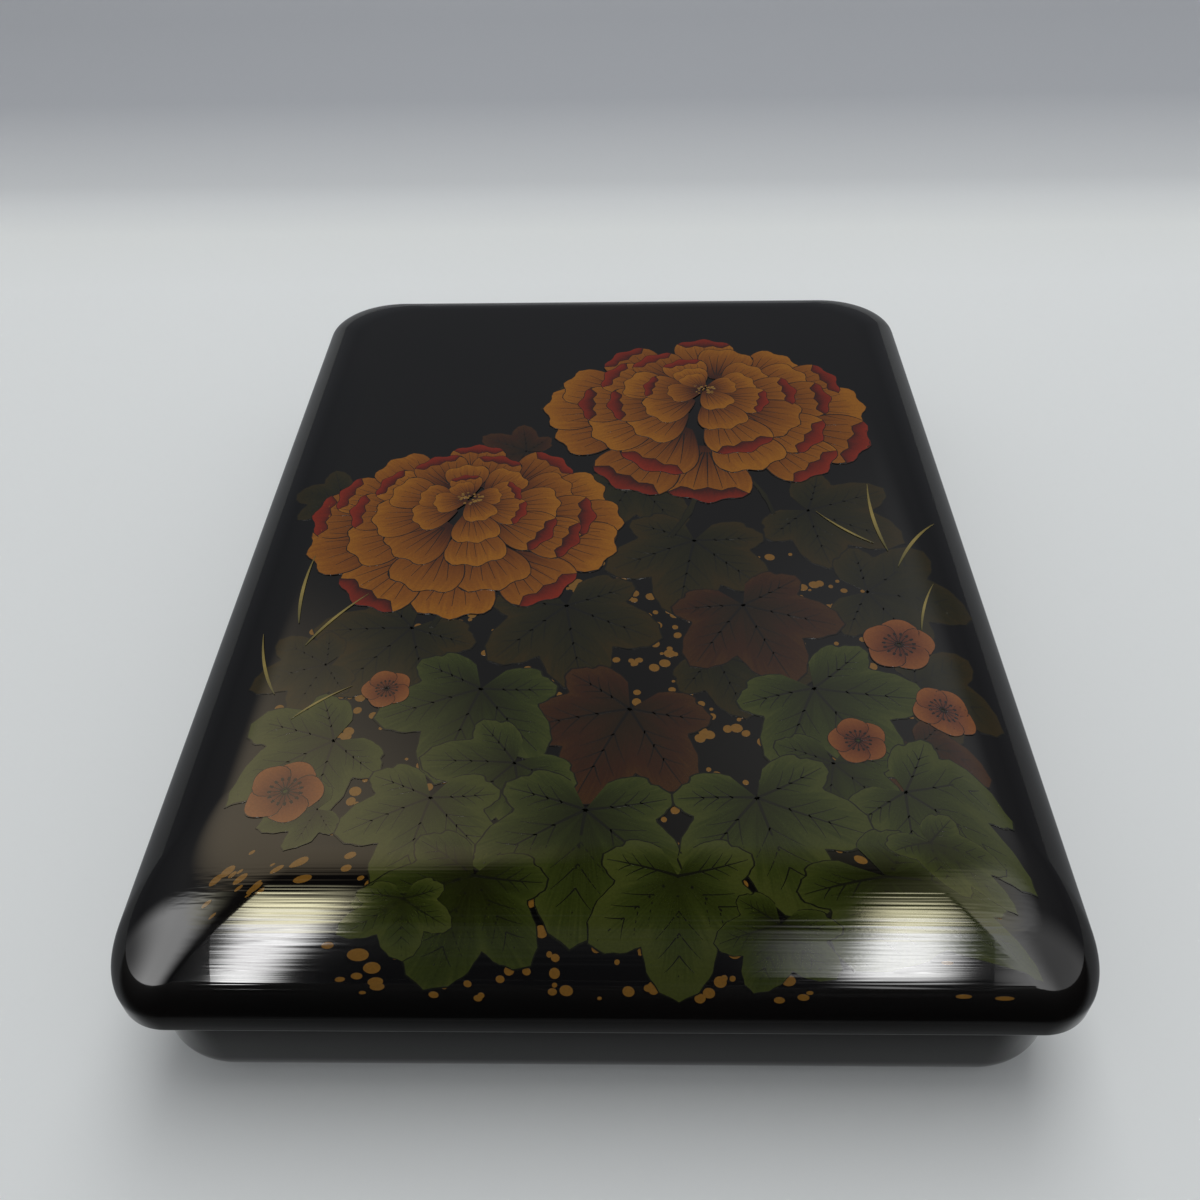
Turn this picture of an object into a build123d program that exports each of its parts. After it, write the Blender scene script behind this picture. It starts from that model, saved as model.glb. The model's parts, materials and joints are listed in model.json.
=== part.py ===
from build123d import *
import os
from math import cos, radians, sin

# Lacquer writing box: an overlapping lid over a low box, with a lift-out tray that holds the writing set.
# Millimetres, +Z up, +Y to the back. The origin is on the table under the middle of the box.

os.makedirs("parts", exist_ok=True)

# Lid, outside
lid_width = 260.0
lid_length = 346.0
lid_corner = 16.0            # plan radius at the rim
lid_top_corner = 25.0        # plan radius where the shoulder meets the top
rim_height = 34.0            # underside of the lid's rim above the table
band_height = 7.0            # upright part of the lid's side
shoulder_width = 34.0
shoulder_height = 29.0
shoulder_steps = 7
rim_round = 1.4

# Lid, inside
lid_wall = 3.4               # at the rim
lid_fit = 0.5                # all round, between the lid's wall and the box
seat_height = 12.5           # from the rim up to the step that rests on the box
seat_gap = 0.1               # a lifted piece over the seat that carries it
top_thickness = 5.0
vault_width = 26.0           # curved inside of the shoulder

# Lower box
box_wall = 4.0
box_corner = 22.0
lower_round_width = 10.0
lower_round_height = 12.0
lower_round_steps = 5
base_thickness = 5.0
foot_recess = 1.2            # hollow under the base, inside the foot ring
foot_ring = 7.0
box_rim_round = 1.0

# Ledges for the tray
paper_space = 16.0           # height of the space for paper under the tray
ledge_thickness = 5.0

# Tray
tray_fit = 0.6               # all round, between the tray and the box
tray_base_thickness = 3.0
tray_wall = 4.0
tray_drop = 1.5              # the tray's wall ends this far under the rim of the box
tray_rim_round = 0.8
notch_width = 56.0
notch_depth = 9.0
notch_round = 6.0
partition_thickness = 3.0
partition_height = 13.5
front_bay = 199.0            # length of the bay before the cross partition

# Board with the seats
seat_board_thickness = 7.0
seat_fit = 0.3               # all round, between a tool and its seat
seat_space_share = 0.26      # of the free width, on each side of the row of seats
finger_scoop_share = 0.75    # radius of a finger scoop, as a share of that space

# Inkstone
inkstone_width = 75.0
inkstone_length = 135.0
inkstone_height = 15.5
inkstone_round = 1.6
inkstone_border = 6.0
inkstone_well_corner = 7.0
inkstone_land_depth = 1.8
inkstone_sea_depth = 8.5
inkstone_sea_length = 24.0
inkstone_slope_length = 34.0

# Water dropper
dropper_width = 42.0
dropper_length = 58.0
dropper_height = 17.0
dropper_corner = 8.0
dropper_wall = 1.2
dropper_cover_thickness = 1.2
dropper_cover_lip = 2.0
dropper_cover_round = 0.5
dropper_vent = 3.0
dropper_collar = 9.0
dropper_collar_height = 0.8
spout_base = 5.0
spout_tip = 3.4
spout_bore = 2.0
spout_rise = 4.0
spout_inset = 10.0           # from the two sides of the dropper to the spout
dropper_space = 9.5          # from the dropper to the cross partition

# Ink stick
ink_width = 19.0
ink_length = 75.0
ink_height = 9.5
ink_round = 1.2
ink_panel_border = 3.0
ink_panel_depth = 0.5

# Brushes: sizes run from the handle's end to the tip
tool_axis_height = 9.0       # axes of the long tools over the tray's board
tool_end_space = 10.5        # from the tray's wall to the ends of the handles
wall_to_large = 12.5         # from the tray's wall to the axis of the large brush
large_handle_diameter = 10.0
large_handle_length = 170.0
large_collar_diameter = 11.4
large_collar_length = 13.0
large_tip_length = 40.0
large_tip_belly = 11.2
large_cap_diameter = 14.4
large_cap_overlap = 9.0      # how far the cap goes over the collar
large_to_small = 18.0        # from axis to axis
small_handle_diameter = 7.0
small_handle_length = 158.0
small_collar_diameter = 7.8
small_collar_length = 11.0
small_tip_length = 26.0
small_tip_belly = 7.6
small_cap_diameter = 10.4
small_cap_overlap = 7.0
small_to_knife = 17.0
spigot_length = 4.5          # how far the handle and the hair go into the collar
spigot_share = 0.72          # bore of the collar as a share of its diameter
hair_belly_share = 0.38      # where the hair is fullest, as a share of its length
hair_round = 45.0
cap_fit = 0.08               # all round, between a cap and the collar it grips
cap_end_space = 6.5          # free length between the hair and the end of the cap
cap_end = 3.0
bamboo_ring = 0.35           # rise of a bamboo joint over the handle
bamboo_ring_length = 2.4
handle_end_round = 1.5

# Paper knife
knife_to_awl = 16.0
knife_handle_width = 13.0
knife_handle_height = 8.0
knife_handle_length = 98.0
knife_handle_taper = 2.0
knife_handle_round = 3.2
knife_collar_length = 5.0
knife_collar_rise = 0.5
knife_blade_length = 66.0
knife_blade_width = 10.0
knife_blade_thickness = 1.4
knife_tip_slant = 12.0
knife_bevel = 2.6
tang_width = 6.0
tang_length = 24.0

# Awl
awl_to_partition = 12.0
awl_handle_length = 92.0
awl_handle_end = 8.0
awl_handle_belly = 11.0
awl_collar_diameter = 7.2
awl_collar_length = 6.0
awl_shaft_diameter = 3.2
awl_shaft_length = 58.0
awl_point_length = 20.0
awl_point = 0.6

# Rests
rest_length = 9.0
front_rest_place = 22.0      # from the ends of the handles to the middle of each rest
back_rest_place = 130.0
rest_fit = 0.15              # between a tool and its notch
rest_rise = 1.5              # the bar's top over the tools' axes
rest_round = 0.8

# Sizes that follow
lid_inset = lid_wall + lid_fit
box_width = lid_width - 2 * lid_inset
box_length = lid_length - 2 * lid_inset
box_height = rim_height + seat_height - seat_gap
shoulder_base = rim_height + band_height
lid_top = shoulder_base + shoulder_height
ceiling = lid_top - top_thickness
vault_inset = lid_inset + box_wall + lid_fit
vault_base = rim_height + seat_height
vault_height = ceiling - vault_base
box_floor = foot_recess + base_thickness
inner_width = box_width - 2 * box_wall
inner_length = box_length - 2 * box_wall
inner_corner = box_corner - box_wall
ledge_top = box_floor + paper_space
tray_bottom = ledge_top + seat_gap
tray_floor = tray_bottom + tray_base_thickness
tray_width = inner_width - 2 * tray_fit
tray_length = inner_length - 2 * tray_fit
tray_corner = inner_corner - tray_fit
tray_top = box_height - tray_drop
tray_inner_width = tray_width - 2 * tray_wall
tray_inner_length = tray_length - 2 * tray_wall
tray_inner_corner = tray_corner - tray_wall
tool_bottom = tray_floor + seat_gap
tool_axis = tray_floor + tool_axis_height
left_wall_x = -tray_inner_width / 2
right_wall_x = tray_inner_width / 2
front_wall_y = -tray_inner_length / 2
tool_start = front_wall_y + tool_end_space
large_x = left_wall_x + wall_to_large
small_x = large_x + large_to_small
knife_x = small_x + small_to_knife
awl_x = knife_x + knife_to_awl
long_partition_x = awl_x + awl_to_partition
partition_left = long_partition_x - partition_thickness / 2
partition_right = long_partition_x + partition_thickness / 2
partition_front = front_wall_y + front_bay
seat_room = right_wall_x - partition_right - inkstone_width - dropper_width
seat_space = seat_space_share * seat_room
finger_scoop = finger_scoop_share * seat_space
inkstone_x = partition_right + seat_space + inkstone_width / 2
inkstone_y = front_wall_y + front_bay / 2
dropper_x = right_wall_x - seat_space - dropper_width / 2
dropper_y = partition_front - dropper_space - dropper_length / 2
ink_y = inkstone_y - (inkstone_length - ink_length) / 2
rest_front_y = tool_start + front_rest_place
rest_back_y = tool_start + back_rest_place


def soft_edge(inset, rise, steps, corner, end_corner):
    """Levels of a soft edge that turns in along a quarter ellipse: how far in, how high, corner radius."""
    for step in range(steps + 1):
        turn = radians(90 * step / steps)
        yield inset * (1 - cos(turn)), rise * sin(turn), corner + (end_corner - corner) * step / steps


def along(x, y, z=tool_axis):
    """Plane whose X runs to the back along a lying tool and whose Y points up."""
    return Plane(origin=(x, y, z), x_dir=(0, 1, 0), z_dir=(1, 0, 0))


def across(x, y, z=tool_axis):
    """Plane across a lying tool, looking to the back, with Y pointing up."""
    return Plane(origin=(x, y, z), x_dir=(-1, 0, 0), z_dir=(0, 1, 0))


def tool_line(x, z=tool_axis):
    return Axis((x, 0, z), (0, 1, 0))


def save(piece, name):
    piece.part.label = name
    export_step(piece.part, f"parts/{name}.step")


# Lid: a band, the soft shoulder lofted over it, then the pocket for the box and the vault above the step
with BuildPart() as lid:
    with BuildSketch(Plane.XY.offset(rim_height)):
        RectangleRounded(lid_width, lid_length, lid_corner)
    extrude(amount=band_height)
    for inset, rise, corner in soft_edge(shoulder_width, shoulder_height, shoulder_steps,
                                         lid_corner, lid_top_corner):
        with BuildSketch(Plane.XY.offset(shoulder_base + rise)):
            RectangleRounded(lid_width - 2 * inset, lid_length - 2 * inset, corner)
    loft()
    with BuildSketch(Plane.XY.offset(rim_height)):
        RectangleRounded(lid_width - 2 * lid_wall, lid_length - 2 * lid_wall, lid_corner - lid_wall)
    extrude(amount=seat_height, mode=Mode.SUBTRACT)
    for inset, rise, corner in soft_edge(vault_width, vault_height, shoulder_steps,
                                         inner_corner, lid_top_corner):
        with BuildSketch(Plane.XY.offset(vault_base + rise)):
            RectangleRounded(lid_width - 2 * (vault_inset + inset), lid_length - 2 * (vault_inset + inset),
                             corner)
    loft(mode=Mode.SUBTRACT)
    fillet(lid.edges().group_by(Axis.Z)[0], rim_round)
save(lid, "lid")

# Lower box: the rounded lower edge lofted downwards, straight walls, the inside and the hollow of the foot
with BuildPart() as box_body:
    for inset, rise, corner in soft_edge(lower_round_width, lower_round_height, lower_round_steps,
                                         box_corner, box_corner):
        with BuildSketch(Plane.XY.offset(lower_round_height - rise)):
            RectangleRounded(box_width - 2 * inset, box_length - 2 * inset, corner)
    loft()
    with BuildSketch(Plane.XY.offset(lower_round_height)):
        RectangleRounded(box_width, box_length, box_corner)
    extrude(amount=box_height - lower_round_height)
    with BuildSketch(Plane.XY.offset(box_floor)):
        RectangleRounded(inner_width, inner_length, inner_corner)
    extrude(amount=box_height - box_floor, mode=Mode.SUBTRACT)
    fillet(box_body.edges().group_by(Axis.Z)[-1], box_rim_round)
    with BuildSketch(Plane.XY):
        foot_inset = lower_round_width + foot_ring
        RectangleRounded(box_width - 2 * foot_inset, box_length - 2 * foot_inset, box_corner - foot_ring)
    extrude(amount=foot_recess, mode=Mode.SUBTRACT)
save(box_body, "box_body")

# Ledges along the straight part of each wall
side_ledge = inner_length - 2 * inner_corner
end_ledge = inner_width - 2 * inner_corner
ledges = {
    "ledge_left": (ledge_thickness, side_ledge, -(inner_width - ledge_thickness) / 2, 0),
    "ledge_right": (ledge_thickness, side_ledge, (inner_width - ledge_thickness) / 2, 0),
    "ledge_front": (end_ledge, ledge_thickness, 0, -(inner_length - ledge_thickness) / 2),
    "ledge_back": (end_ledge, ledge_thickness, 0, (inner_length - ledge_thickness) / 2),
}
for name, (width, length, x, y) in ledges.items():
    with BuildPart() as ledge:
        with BuildSketch(Plane((x, y, box_floor))):
            Rectangle(width, length)
        extrude(amount=paper_space)
    save(ledge, name)

# Tray: a board, and a rounded wall on it with a finger notch in each end
with BuildPart() as tray_base:
    with BuildSketch(Plane.XY.offset(tray_bottom)):
        RectangleRounded(tray_width, tray_length, tray_corner)
    extrude(amount=tray_base_thickness)
save(tray_base, "tray_base")

with BuildPart() as tray_frame:
    with BuildSketch(Plane.XY.offset(tray_floor)):
        RectangleRounded(tray_width, tray_length, tray_corner)
        RectangleRounded(tray_inner_width, tray_inner_length, tray_inner_corner, mode=Mode.SUBTRACT)
    extrude(amount=tray_top - tray_floor)
    fillet(tray_frame.edges().group_by(Axis.Z)[-1], tray_rim_round)
    with BuildSketch(Plane.XZ.offset(-tray_length / 2)):
        with Locations((0, tray_top)):
            RectangleRounded(notch_width, 2 * notch_depth, notch_round)
    extrude(amount=tray_length, mode=Mode.SUBTRACT)
save(tray_frame, "tray_frame")

with BuildPart() as long_partition:
    with BuildSketch(Plane((long_partition_x, 0, tray_floor))):
        Rectangle(partition_thickness, tray_inner_length)
    extrude(amount=partition_height)
save(long_partition, "long_partition")

with BuildPart() as cross_partition:
    with BuildSketch(Plane((partition_right, partition_front, tray_floor))):
        Rectangle(right_wall_x - partition_right, partition_thickness, align=Align.MIN)
    extrude(amount=partition_height)
save(cross_partition, "cross_partition")

# Board with the seats of the inkstone, the dropper and the ink stick, each with its finger scoops
seats = [
    (inkstone_x, inkstone_y, inkstone_width, inkstone_length, inkstone_round),
    (dropper_x, dropper_y, dropper_width, dropper_length, dropper_corner),
    (dropper_x, ink_y, ink_width, ink_length, ink_round),
]
with BuildPart() as seat_board:
    with BuildSketch(Plane.XY.offset(tray_floor)):
        RectangleRounded(tray_inner_width, tray_inner_length, tray_inner_corner)
        with Locations((partition_right, front_wall_y)):
            Rectangle(right_wall_x - partition_right, front_bay, align=Align.MIN, mode=Mode.INTERSECT)
        for x, y, width, length, corner in seats:
            with Locations((x, y)):
                RectangleRounded(width + 2 * seat_fit, length + 2 * seat_fit, corner + seat_fit,
                                 mode=Mode.SUBTRACT)
            with Locations((x - width / 2 - seat_fit, y), (x + width / 2 + seat_fit, y)):
                Circle(finger_scoop, mode=Mode.SUBTRACT)
    extrude(amount=seat_board_thickness)
save(seat_board, "seat_board")

# Inkstone: the space of the well is the plan outline of the hollow, cut to the profile of land and sea
stone_top = tool_bottom + inkstone_height
hollow_length = inkstone_length - 2 * inkstone_border
sea_floor = stone_top - inkstone_sea_depth
land = stone_top - inkstone_land_depth
sea_start = hollow_length / 2 - inkstone_sea_length
slope_start = sea_start - inkstone_slope_length
with BuildPart() as ink_well:
    with BuildSketch(Plane.XY.offset(sea_floor)):
        with Locations((inkstone_x, inkstone_y)):
            RectangleRounded(inkstone_width - 2 * inkstone_border, hollow_length, inkstone_well_corner)
    extrude(amount=inkstone_sea_depth)
    with BuildSketch(Plane(origin=(inkstone_x, inkstone_y, 0), x_dir=(0, 1, 0), z_dir=(1, 0, 0))):
        with BuildLine():
            Line((-hollow_length / 2, land), (slope_start, land))
            Spline((slope_start, land), (sea_start, sea_floor), tangents=((1, 0), (1, 0)))
            Polyline((sea_start, sea_floor), (hollow_length / 2, sea_floor), (hollow_length / 2, stone_top),
                     (-hollow_length / 2, stone_top), (-hollow_length / 2, land))
        make_face()
    extrude(amount=inkstone_width / 2, both=True, mode=Mode.INTERSECT)

with BuildPart() as inkstone:
    with BuildSketch(Plane((inkstone_x, inkstone_y, tool_bottom))):
        RectangleRounded(inkstone_width, inkstone_length, inkstone_round)
    extrude(amount=inkstone_height)
    fillet(inkstone.edges().group_by(Axis.Z)[-1], inkstone_round / 2)
    add(ink_well.part, mode=Mode.SUBTRACT)
save(inkstone, "inkstone")

# Water dropper: a pan, a cover whose lip goes down inside it, and a spout through the cover
pan_top = tool_bottom + dropper_height - dropper_cover_thickness
inner_dropper_width = dropper_width - 2 * dropper_wall
inner_dropper_length = dropper_length - 2 * dropper_wall
inner_dropper_corner = dropper_corner - dropper_wall
spout_x = dropper_x + dropper_width / 2 - spout_inset
spout_y = dropper_y - dropper_length / 2 + spout_inset
with BuildPart() as dropper_pan:
    with BuildSketch(Plane((dropper_x, dropper_y, tool_bottom))):
        RectangleRounded(dropper_width, dropper_length, dropper_corner)
    extrude(amount=pan_top - tool_bottom)
    fillet(dropper_pan.edges().group_by(Axis.Z)[0], dropper_wall)
    with BuildSketch(Plane((dropper_x, dropper_y, tool_bottom + dropper_wall))):
        RectangleRounded(inner_dropper_width, inner_dropper_length, inner_dropper_corner)
    extrude(amount=dropper_height, mode=Mode.SUBTRACT)
save(dropper_pan, "dropper_pan")

with BuildPart() as dropper_cover:
    with BuildSketch(Plane((dropper_x, dropper_y, pan_top))):
        RectangleRounded(dropper_width, dropper_length, dropper_corner)
    extrude(amount=dropper_cover_thickness)
    fillet(dropper_cover.edges().group_by(Axis.Z)[-1], dropper_cover_round)
    with BuildSketch(Plane((dropper_x, dropper_y, pan_top))):
        RectangleRounded(inner_dropper_width, inner_dropper_length, inner_dropper_corner)
        offset(amount=-dropper_wall, mode=Mode.SUBTRACT)
    extrude(amount=-dropper_cover_lip)
    with BuildSketch(Plane((dropper_x, dropper_y, pan_top + dropper_cover_thickness))):
        Circle(dropper_collar / 2)
    extrude(amount=dropper_collar_height)
    with BuildSketch(Plane((dropper_x, dropper_y, pan_top))):
        Circle(dropper_vent / 2)
    extrude(amount=dropper_height, mode=Mode.SUBTRACT)
    with BuildSketch(Plane((spout_x, spout_y, pan_top))):
        Circle(spout_base / 2)
    extrude(amount=dropper_height, mode=Mode.SUBTRACT)
save(dropper_cover, "dropper_cover")

with BuildPart() as dropper_spout:
    with BuildSketch(Plane((spout_x, spout_y, pan_top))):
        Circle(spout_base / 2)
    extrude(amount=dropper_cover_thickness)
    with BuildSketch(Plane((spout_x, spout_y, pan_top + dropper_cover_thickness))):
        Circle(spout_base / 2)
    with BuildSketch(Plane((spout_x, spout_y, pan_top + dropper_cover_thickness + spout_rise))):
        Circle(spout_tip / 2)
    loft()
    with BuildSketch(Plane((spout_x, spout_y, pan_top))):
        Circle(spout_bore / 2)
    extrude(amount=dropper_height, mode=Mode.SUBTRACT)
save(dropper_spout, "dropper_spout")

# Ink stick: a pressed bar with a sunk panel on its upper face
with BuildPart() as ink_stick:
    with BuildSketch(Plane((dropper_x, ink_y, tool_bottom))):
        RectangleRounded(ink_width, ink_length, ink_round)
    extrude(amount=ink_height)
    fillet(ink_stick.edges().group_by(Axis.Z)[-1], ink_round / 2)
    with BuildSketch(Plane((dropper_x, ink_y, tool_bottom + ink_height))):
        Rectangle(ink_width - 2 * ink_panel_border, ink_length - 2 * ink_panel_border)
    extrude(amount=-ink_panel_depth, mode=Mode.SUBTRACT)
save(ink_stick, "ink_stick")

# Brushes: a bamboo handle with raised joints, a horn collar, a pointed tuft of hair and a bamboo cap
brushes = {
    "large_brush": (large_x, large_handle_diameter, large_handle_length, large_collar_diameter,
                    large_collar_length, large_tip_length, large_tip_belly, large_cap_diameter,
                    large_cap_overlap),
    "small_brush": (small_x, small_handle_diameter, small_handle_length, small_collar_diameter,
                    small_collar_length, small_tip_length, small_tip_belly, small_cap_diameter,
                    small_cap_overlap),
}
for name, sizes in brushes.items():
    x, handle_d, handle_len, collar_d, collar_len, tip_len, belly, cap_d, overlap = sizes
    bore = collar_d * spigot_share
    collar_y = tool_start + handle_len
    hair_y = collar_y + collar_len
    cap_y = hair_y - overlap
    cap_length = overlap + tip_len + cap_end_space + cap_end

    with BuildPart() as handle:
        with BuildSketch(across(x, tool_start)):
            Circle(handle_d / 2)
        extrude(amount=handle_len)
        fillet(handle.edges().sort_by(Axis.Y)[0], handle_end_round)
        for share in (1 / 3, 2 / 3):
            with BuildSketch(along(x, tool_start + share * handle_len)):
                with BuildLine():
                    middle = Polyline((-bamboo_ring_length / 2, 0), (bamboo_ring_length / 2, 0))
                    Line(middle @ 0, (-bamboo_ring_length / 2, handle_d / 2))
                    ThreePointArc((-bamboo_ring_length / 2, handle_d / 2), (0, handle_d / 2 + bamboo_ring),
                                  (bamboo_ring_length / 2, handle_d / 2))
                    Line((bamboo_ring_length / 2, handle_d / 2), middle @ 1)
                make_face()
            revolve(axis=tool_line(x))
        with BuildSketch(across(x, collar_y)):
            Circle(bore / 2)
        extrude(amount=spigot_length)
    save(handle, f"{name}_handle")

    with BuildPart() as collar:
        with BuildSketch(across(x, collar_y)):
            Circle(collar_d / 2)
            Circle(bore / 2, mode=Mode.SUBTRACT)
        extrude(amount=collar_len)
    save(collar, f"{name}_collar")

    with BuildPart() as tip:
        with BuildSketch(along(x, hair_y)):
            with BuildLine():
                Polyline((0, bore / 2), (-spigot_length, bore / 2), (-spigot_length, 0), (tip_len, 0))
                FilletPolyline((0, bore / 2), (hair_belly_share * tip_len, belly / 2), (tip_len, 0),
                               radius=hair_round)
            make_face()
        revolve(axis=tool_line(x))
    save(tip, f"{name}_tip")

    with BuildPart() as cap:
        with BuildSketch(across(x, cap_y)):
            Circle(cap_d / 2)
        extrude(amount=cap_length)
        fillet(cap.edges().sort_by(Axis.Y)[-1], handle_end_round)
        with BuildSketch(across(x, cap_y)):
            Circle(collar_d / 2 + cap_fit)
        extrude(amount=cap_length - cap_end, mode=Mode.SUBTRACT)
    save(cap, f"{name}_cap")

# Paper knife: a tapering handle, an oval collar, and a blade whose tang goes through both
knife_collar_y = tool_start + knife_handle_length
blade_y = knife_collar_y + knife_collar_length
with BuildPart() as knife_handle:
    with BuildSketch(across(knife_x, tool_start)):
        RectangleRounded(knife_handle_width - knife_handle_taper, knife_handle_height - knife_handle_taper / 2,
                         knife_handle_round - knife_handle_taper / 4)
    with BuildSketch(across(knife_x, knife_collar_y)):
        RectangleRounded(knife_handle_width, knife_handle_height, knife_handle_round)
    loft()
    fillet(knife_handle.faces().sort_by(Axis.Y)[0].edges(), handle_end_round)
    with BuildSketch(across(knife_x, knife_collar_y)):
        Rectangle(tang_width, knife_blade_thickness)
    extrude(amount=knife_collar_length - tang_length, mode=Mode.SUBTRACT)
save(knife_handle, "knife_handle")

with BuildPart() as knife_collar:
    with BuildSketch(across(knife_x, knife_collar_y)):
        RectangleRounded(knife_handle_width + 2 * knife_collar_rise, knife_handle_height + 2 * knife_collar_rise,
                         knife_handle_round + knife_collar_rise)
        Rectangle(tang_width, knife_blade_thickness, mode=Mode.SUBTRACT)
    extrude(amount=knife_collar_length)
save(knife_collar, "knife_collar")

with BuildPart() as knife_blade:
    with BuildSketch(Plane((knife_x, blade_y, tool_axis - knife_blade_thickness / 2))):
        with BuildLine():
            half = knife_blade_width / 2
            Polyline((-half, 0), (half, 0), (half, knife_blade_length - knife_tip_slant),
                     (-half, knife_blade_length), close=True)
        make_face()
    extrude(amount=knife_blade_thickness)
    chamfer(knife_blade.edges().filter_by(Axis.Y).sort_by(Axis.X)[-2:].sort_by(Axis.Z)[-1],
            knife_blade_thickness * 0.8, knife_bevel)
    with BuildSketch(across(knife_x, blade_y)):
        Rectangle(tang_width, knife_blade_thickness)
    extrude(amount=-tang_length)
save(knife_blade, "knife_blade")

# Awl: a turned handle with a belly, a collar, and a round shaft ground to a point
awl_collar_y = tool_start + awl_handle_length
shaft_y = awl_collar_y + awl_collar_length
with BuildPart() as awl_handle:
    with BuildSketch(along(awl_x, tool_start)):
        with BuildLine():
            Polyline((awl_handle_length, awl_collar_diameter / 2), (awl_handle_length, 0), (0, 0),
                     (0, awl_handle_end / 2 - handle_end_round))
            fullest = (front_rest_place, awl_handle_belly / 2)
            shoulder = (handle_end_round, awl_handle_end / 2)
            TangentArc(shoulder, (0, awl_handle_end / 2 - handle_end_round), tangent=(-1, 0))
            TangentArc(fullest, shoulder, tangent=(-1, 0))
            TangentArc(fullest, (awl_handle_length, awl_collar_diameter / 2), tangent=(1, 0))
        make_face()
    revolve(axis=tool_line(awl_x))
    with BuildSketch(across(awl_x, awl_collar_y)):
        Circle(awl_shaft_diameter / 2)
    extrude(amount=awl_collar_length - tang_length, mode=Mode.SUBTRACT)
save(awl_handle, "awl_handle")

with BuildPart() as awl_collar:
    with BuildSketch(across(awl_x, awl_collar_y)):
        Circle(awl_collar_diameter / 2)
        Circle(awl_shaft_diameter / 2, mode=Mode.SUBTRACT)
    extrude(amount=awl_collar_length)
save(awl_collar, "awl_collar")

with BuildPart() as awl_shaft:
    with BuildSketch(across(awl_x, shaft_y - tang_length)):
        Circle(awl_shaft_diameter / 2)
    extrude(amount=tang_length + awl_shaft_length - awl_point_length)
    with BuildSketch(across(awl_x, shaft_y + awl_shaft_length - awl_point_length)):
        Circle(awl_shaft_diameter / 2)
    with BuildSketch(across(awl_x, shaft_y + awl_shaft_length)):
        Circle(awl_point / 2)
    loft()
save(awl_shaft, "awl_shaft")

# Rests: bars across the left side of the tray, with a notch for each tool as wide as the tool is there
bar_left = left_wall_x
bar_width = partition_left - bar_left
bar_height = tool_axis_height + rest_rise
taper_left = 1 - (rest_front_y + rest_length / 2 - tool_start) / knife_handle_length
knife_width_at_rest = knife_handle_width - knife_handle_taper * taper_left
knife_height_at_rest = knife_handle_height - knife_handle_taper / 2 * taper_left
rests = {
    "brush_rest_front": (rest_front_y, [
        (large_x, large_handle_diameter, large_handle_diameter),
        (small_x, small_handle_diameter, small_handle_diameter),
        (knife_x, knife_width_at_rest, knife_height_at_rest),
        (awl_x, awl_handle_belly, awl_handle_belly),
    ]),
    "brush_rest_back": (rest_back_y, [
        (large_x, large_handle_diameter, large_handle_diameter),
        (small_x, small_handle_diameter, small_handle_diameter),
        (knife_x, knife_blade_width, knife_blade_thickness),
        (awl_x, awl_shaft_diameter, awl_shaft_diameter),
    ]),
}
for name, (y, notches) in rests.items():
    with BuildPart() as rest:
        with BuildSketch(Plane((bar_left, y, tray_floor))):
            Rectangle(bar_width, rest_length, align=(Align.MIN, Align.CENTER))
        extrude(amount=bar_height)
        fillet(rest.edges().filter_by(Axis.X).group_by(Axis.Z)[-1], rest_round)
        with BuildSketch(Plane.XZ.offset(-y - rest_length / 2)):
            for x, width, height in notches:
                notch_half = width / 2 + rest_fit
                with Locations((x, tool_axis)):
                    if height == width:
                        Circle(notch_half)
                    else:
                        Rectangle(2 * notch_half, height + 2 * rest_fit)
                    Rectangle(2 * notch_half, bar_height, align=(Align.CENTER, Align.MIN))
        extrude(amount=rest_length, mode=Mode.SUBTRACT)
    save(rest, name)
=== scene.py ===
import json
from math import cos, hypot, pi, radians, sin

import bmesh
import bpy
import numpy as np
from mathutils import Matrix, Vector


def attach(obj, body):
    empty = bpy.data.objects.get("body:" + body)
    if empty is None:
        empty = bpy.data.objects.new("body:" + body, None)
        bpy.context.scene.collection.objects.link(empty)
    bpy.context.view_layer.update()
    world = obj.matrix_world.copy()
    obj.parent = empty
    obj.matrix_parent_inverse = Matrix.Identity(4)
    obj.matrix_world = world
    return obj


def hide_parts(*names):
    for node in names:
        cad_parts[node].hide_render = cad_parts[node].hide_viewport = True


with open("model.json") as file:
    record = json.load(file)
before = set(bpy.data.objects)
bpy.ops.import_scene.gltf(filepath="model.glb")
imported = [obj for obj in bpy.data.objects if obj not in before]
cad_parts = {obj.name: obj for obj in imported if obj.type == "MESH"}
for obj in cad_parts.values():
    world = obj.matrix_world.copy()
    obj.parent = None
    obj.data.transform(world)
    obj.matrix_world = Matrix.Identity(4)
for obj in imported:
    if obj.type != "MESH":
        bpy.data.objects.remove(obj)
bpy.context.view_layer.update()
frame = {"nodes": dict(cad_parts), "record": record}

# Black lacquer writing box: a soft-shouldered lid painted with peonies, plum blossom and leaves, a low box
# under it, and a lift-out tray that holds the writing set. Shapes are written in millimetres and turned to
# metres by MM; materials, the floor, the camera and the lamp are in metres.
MM = 0.001
nodes = frame["nodes"]

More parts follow.
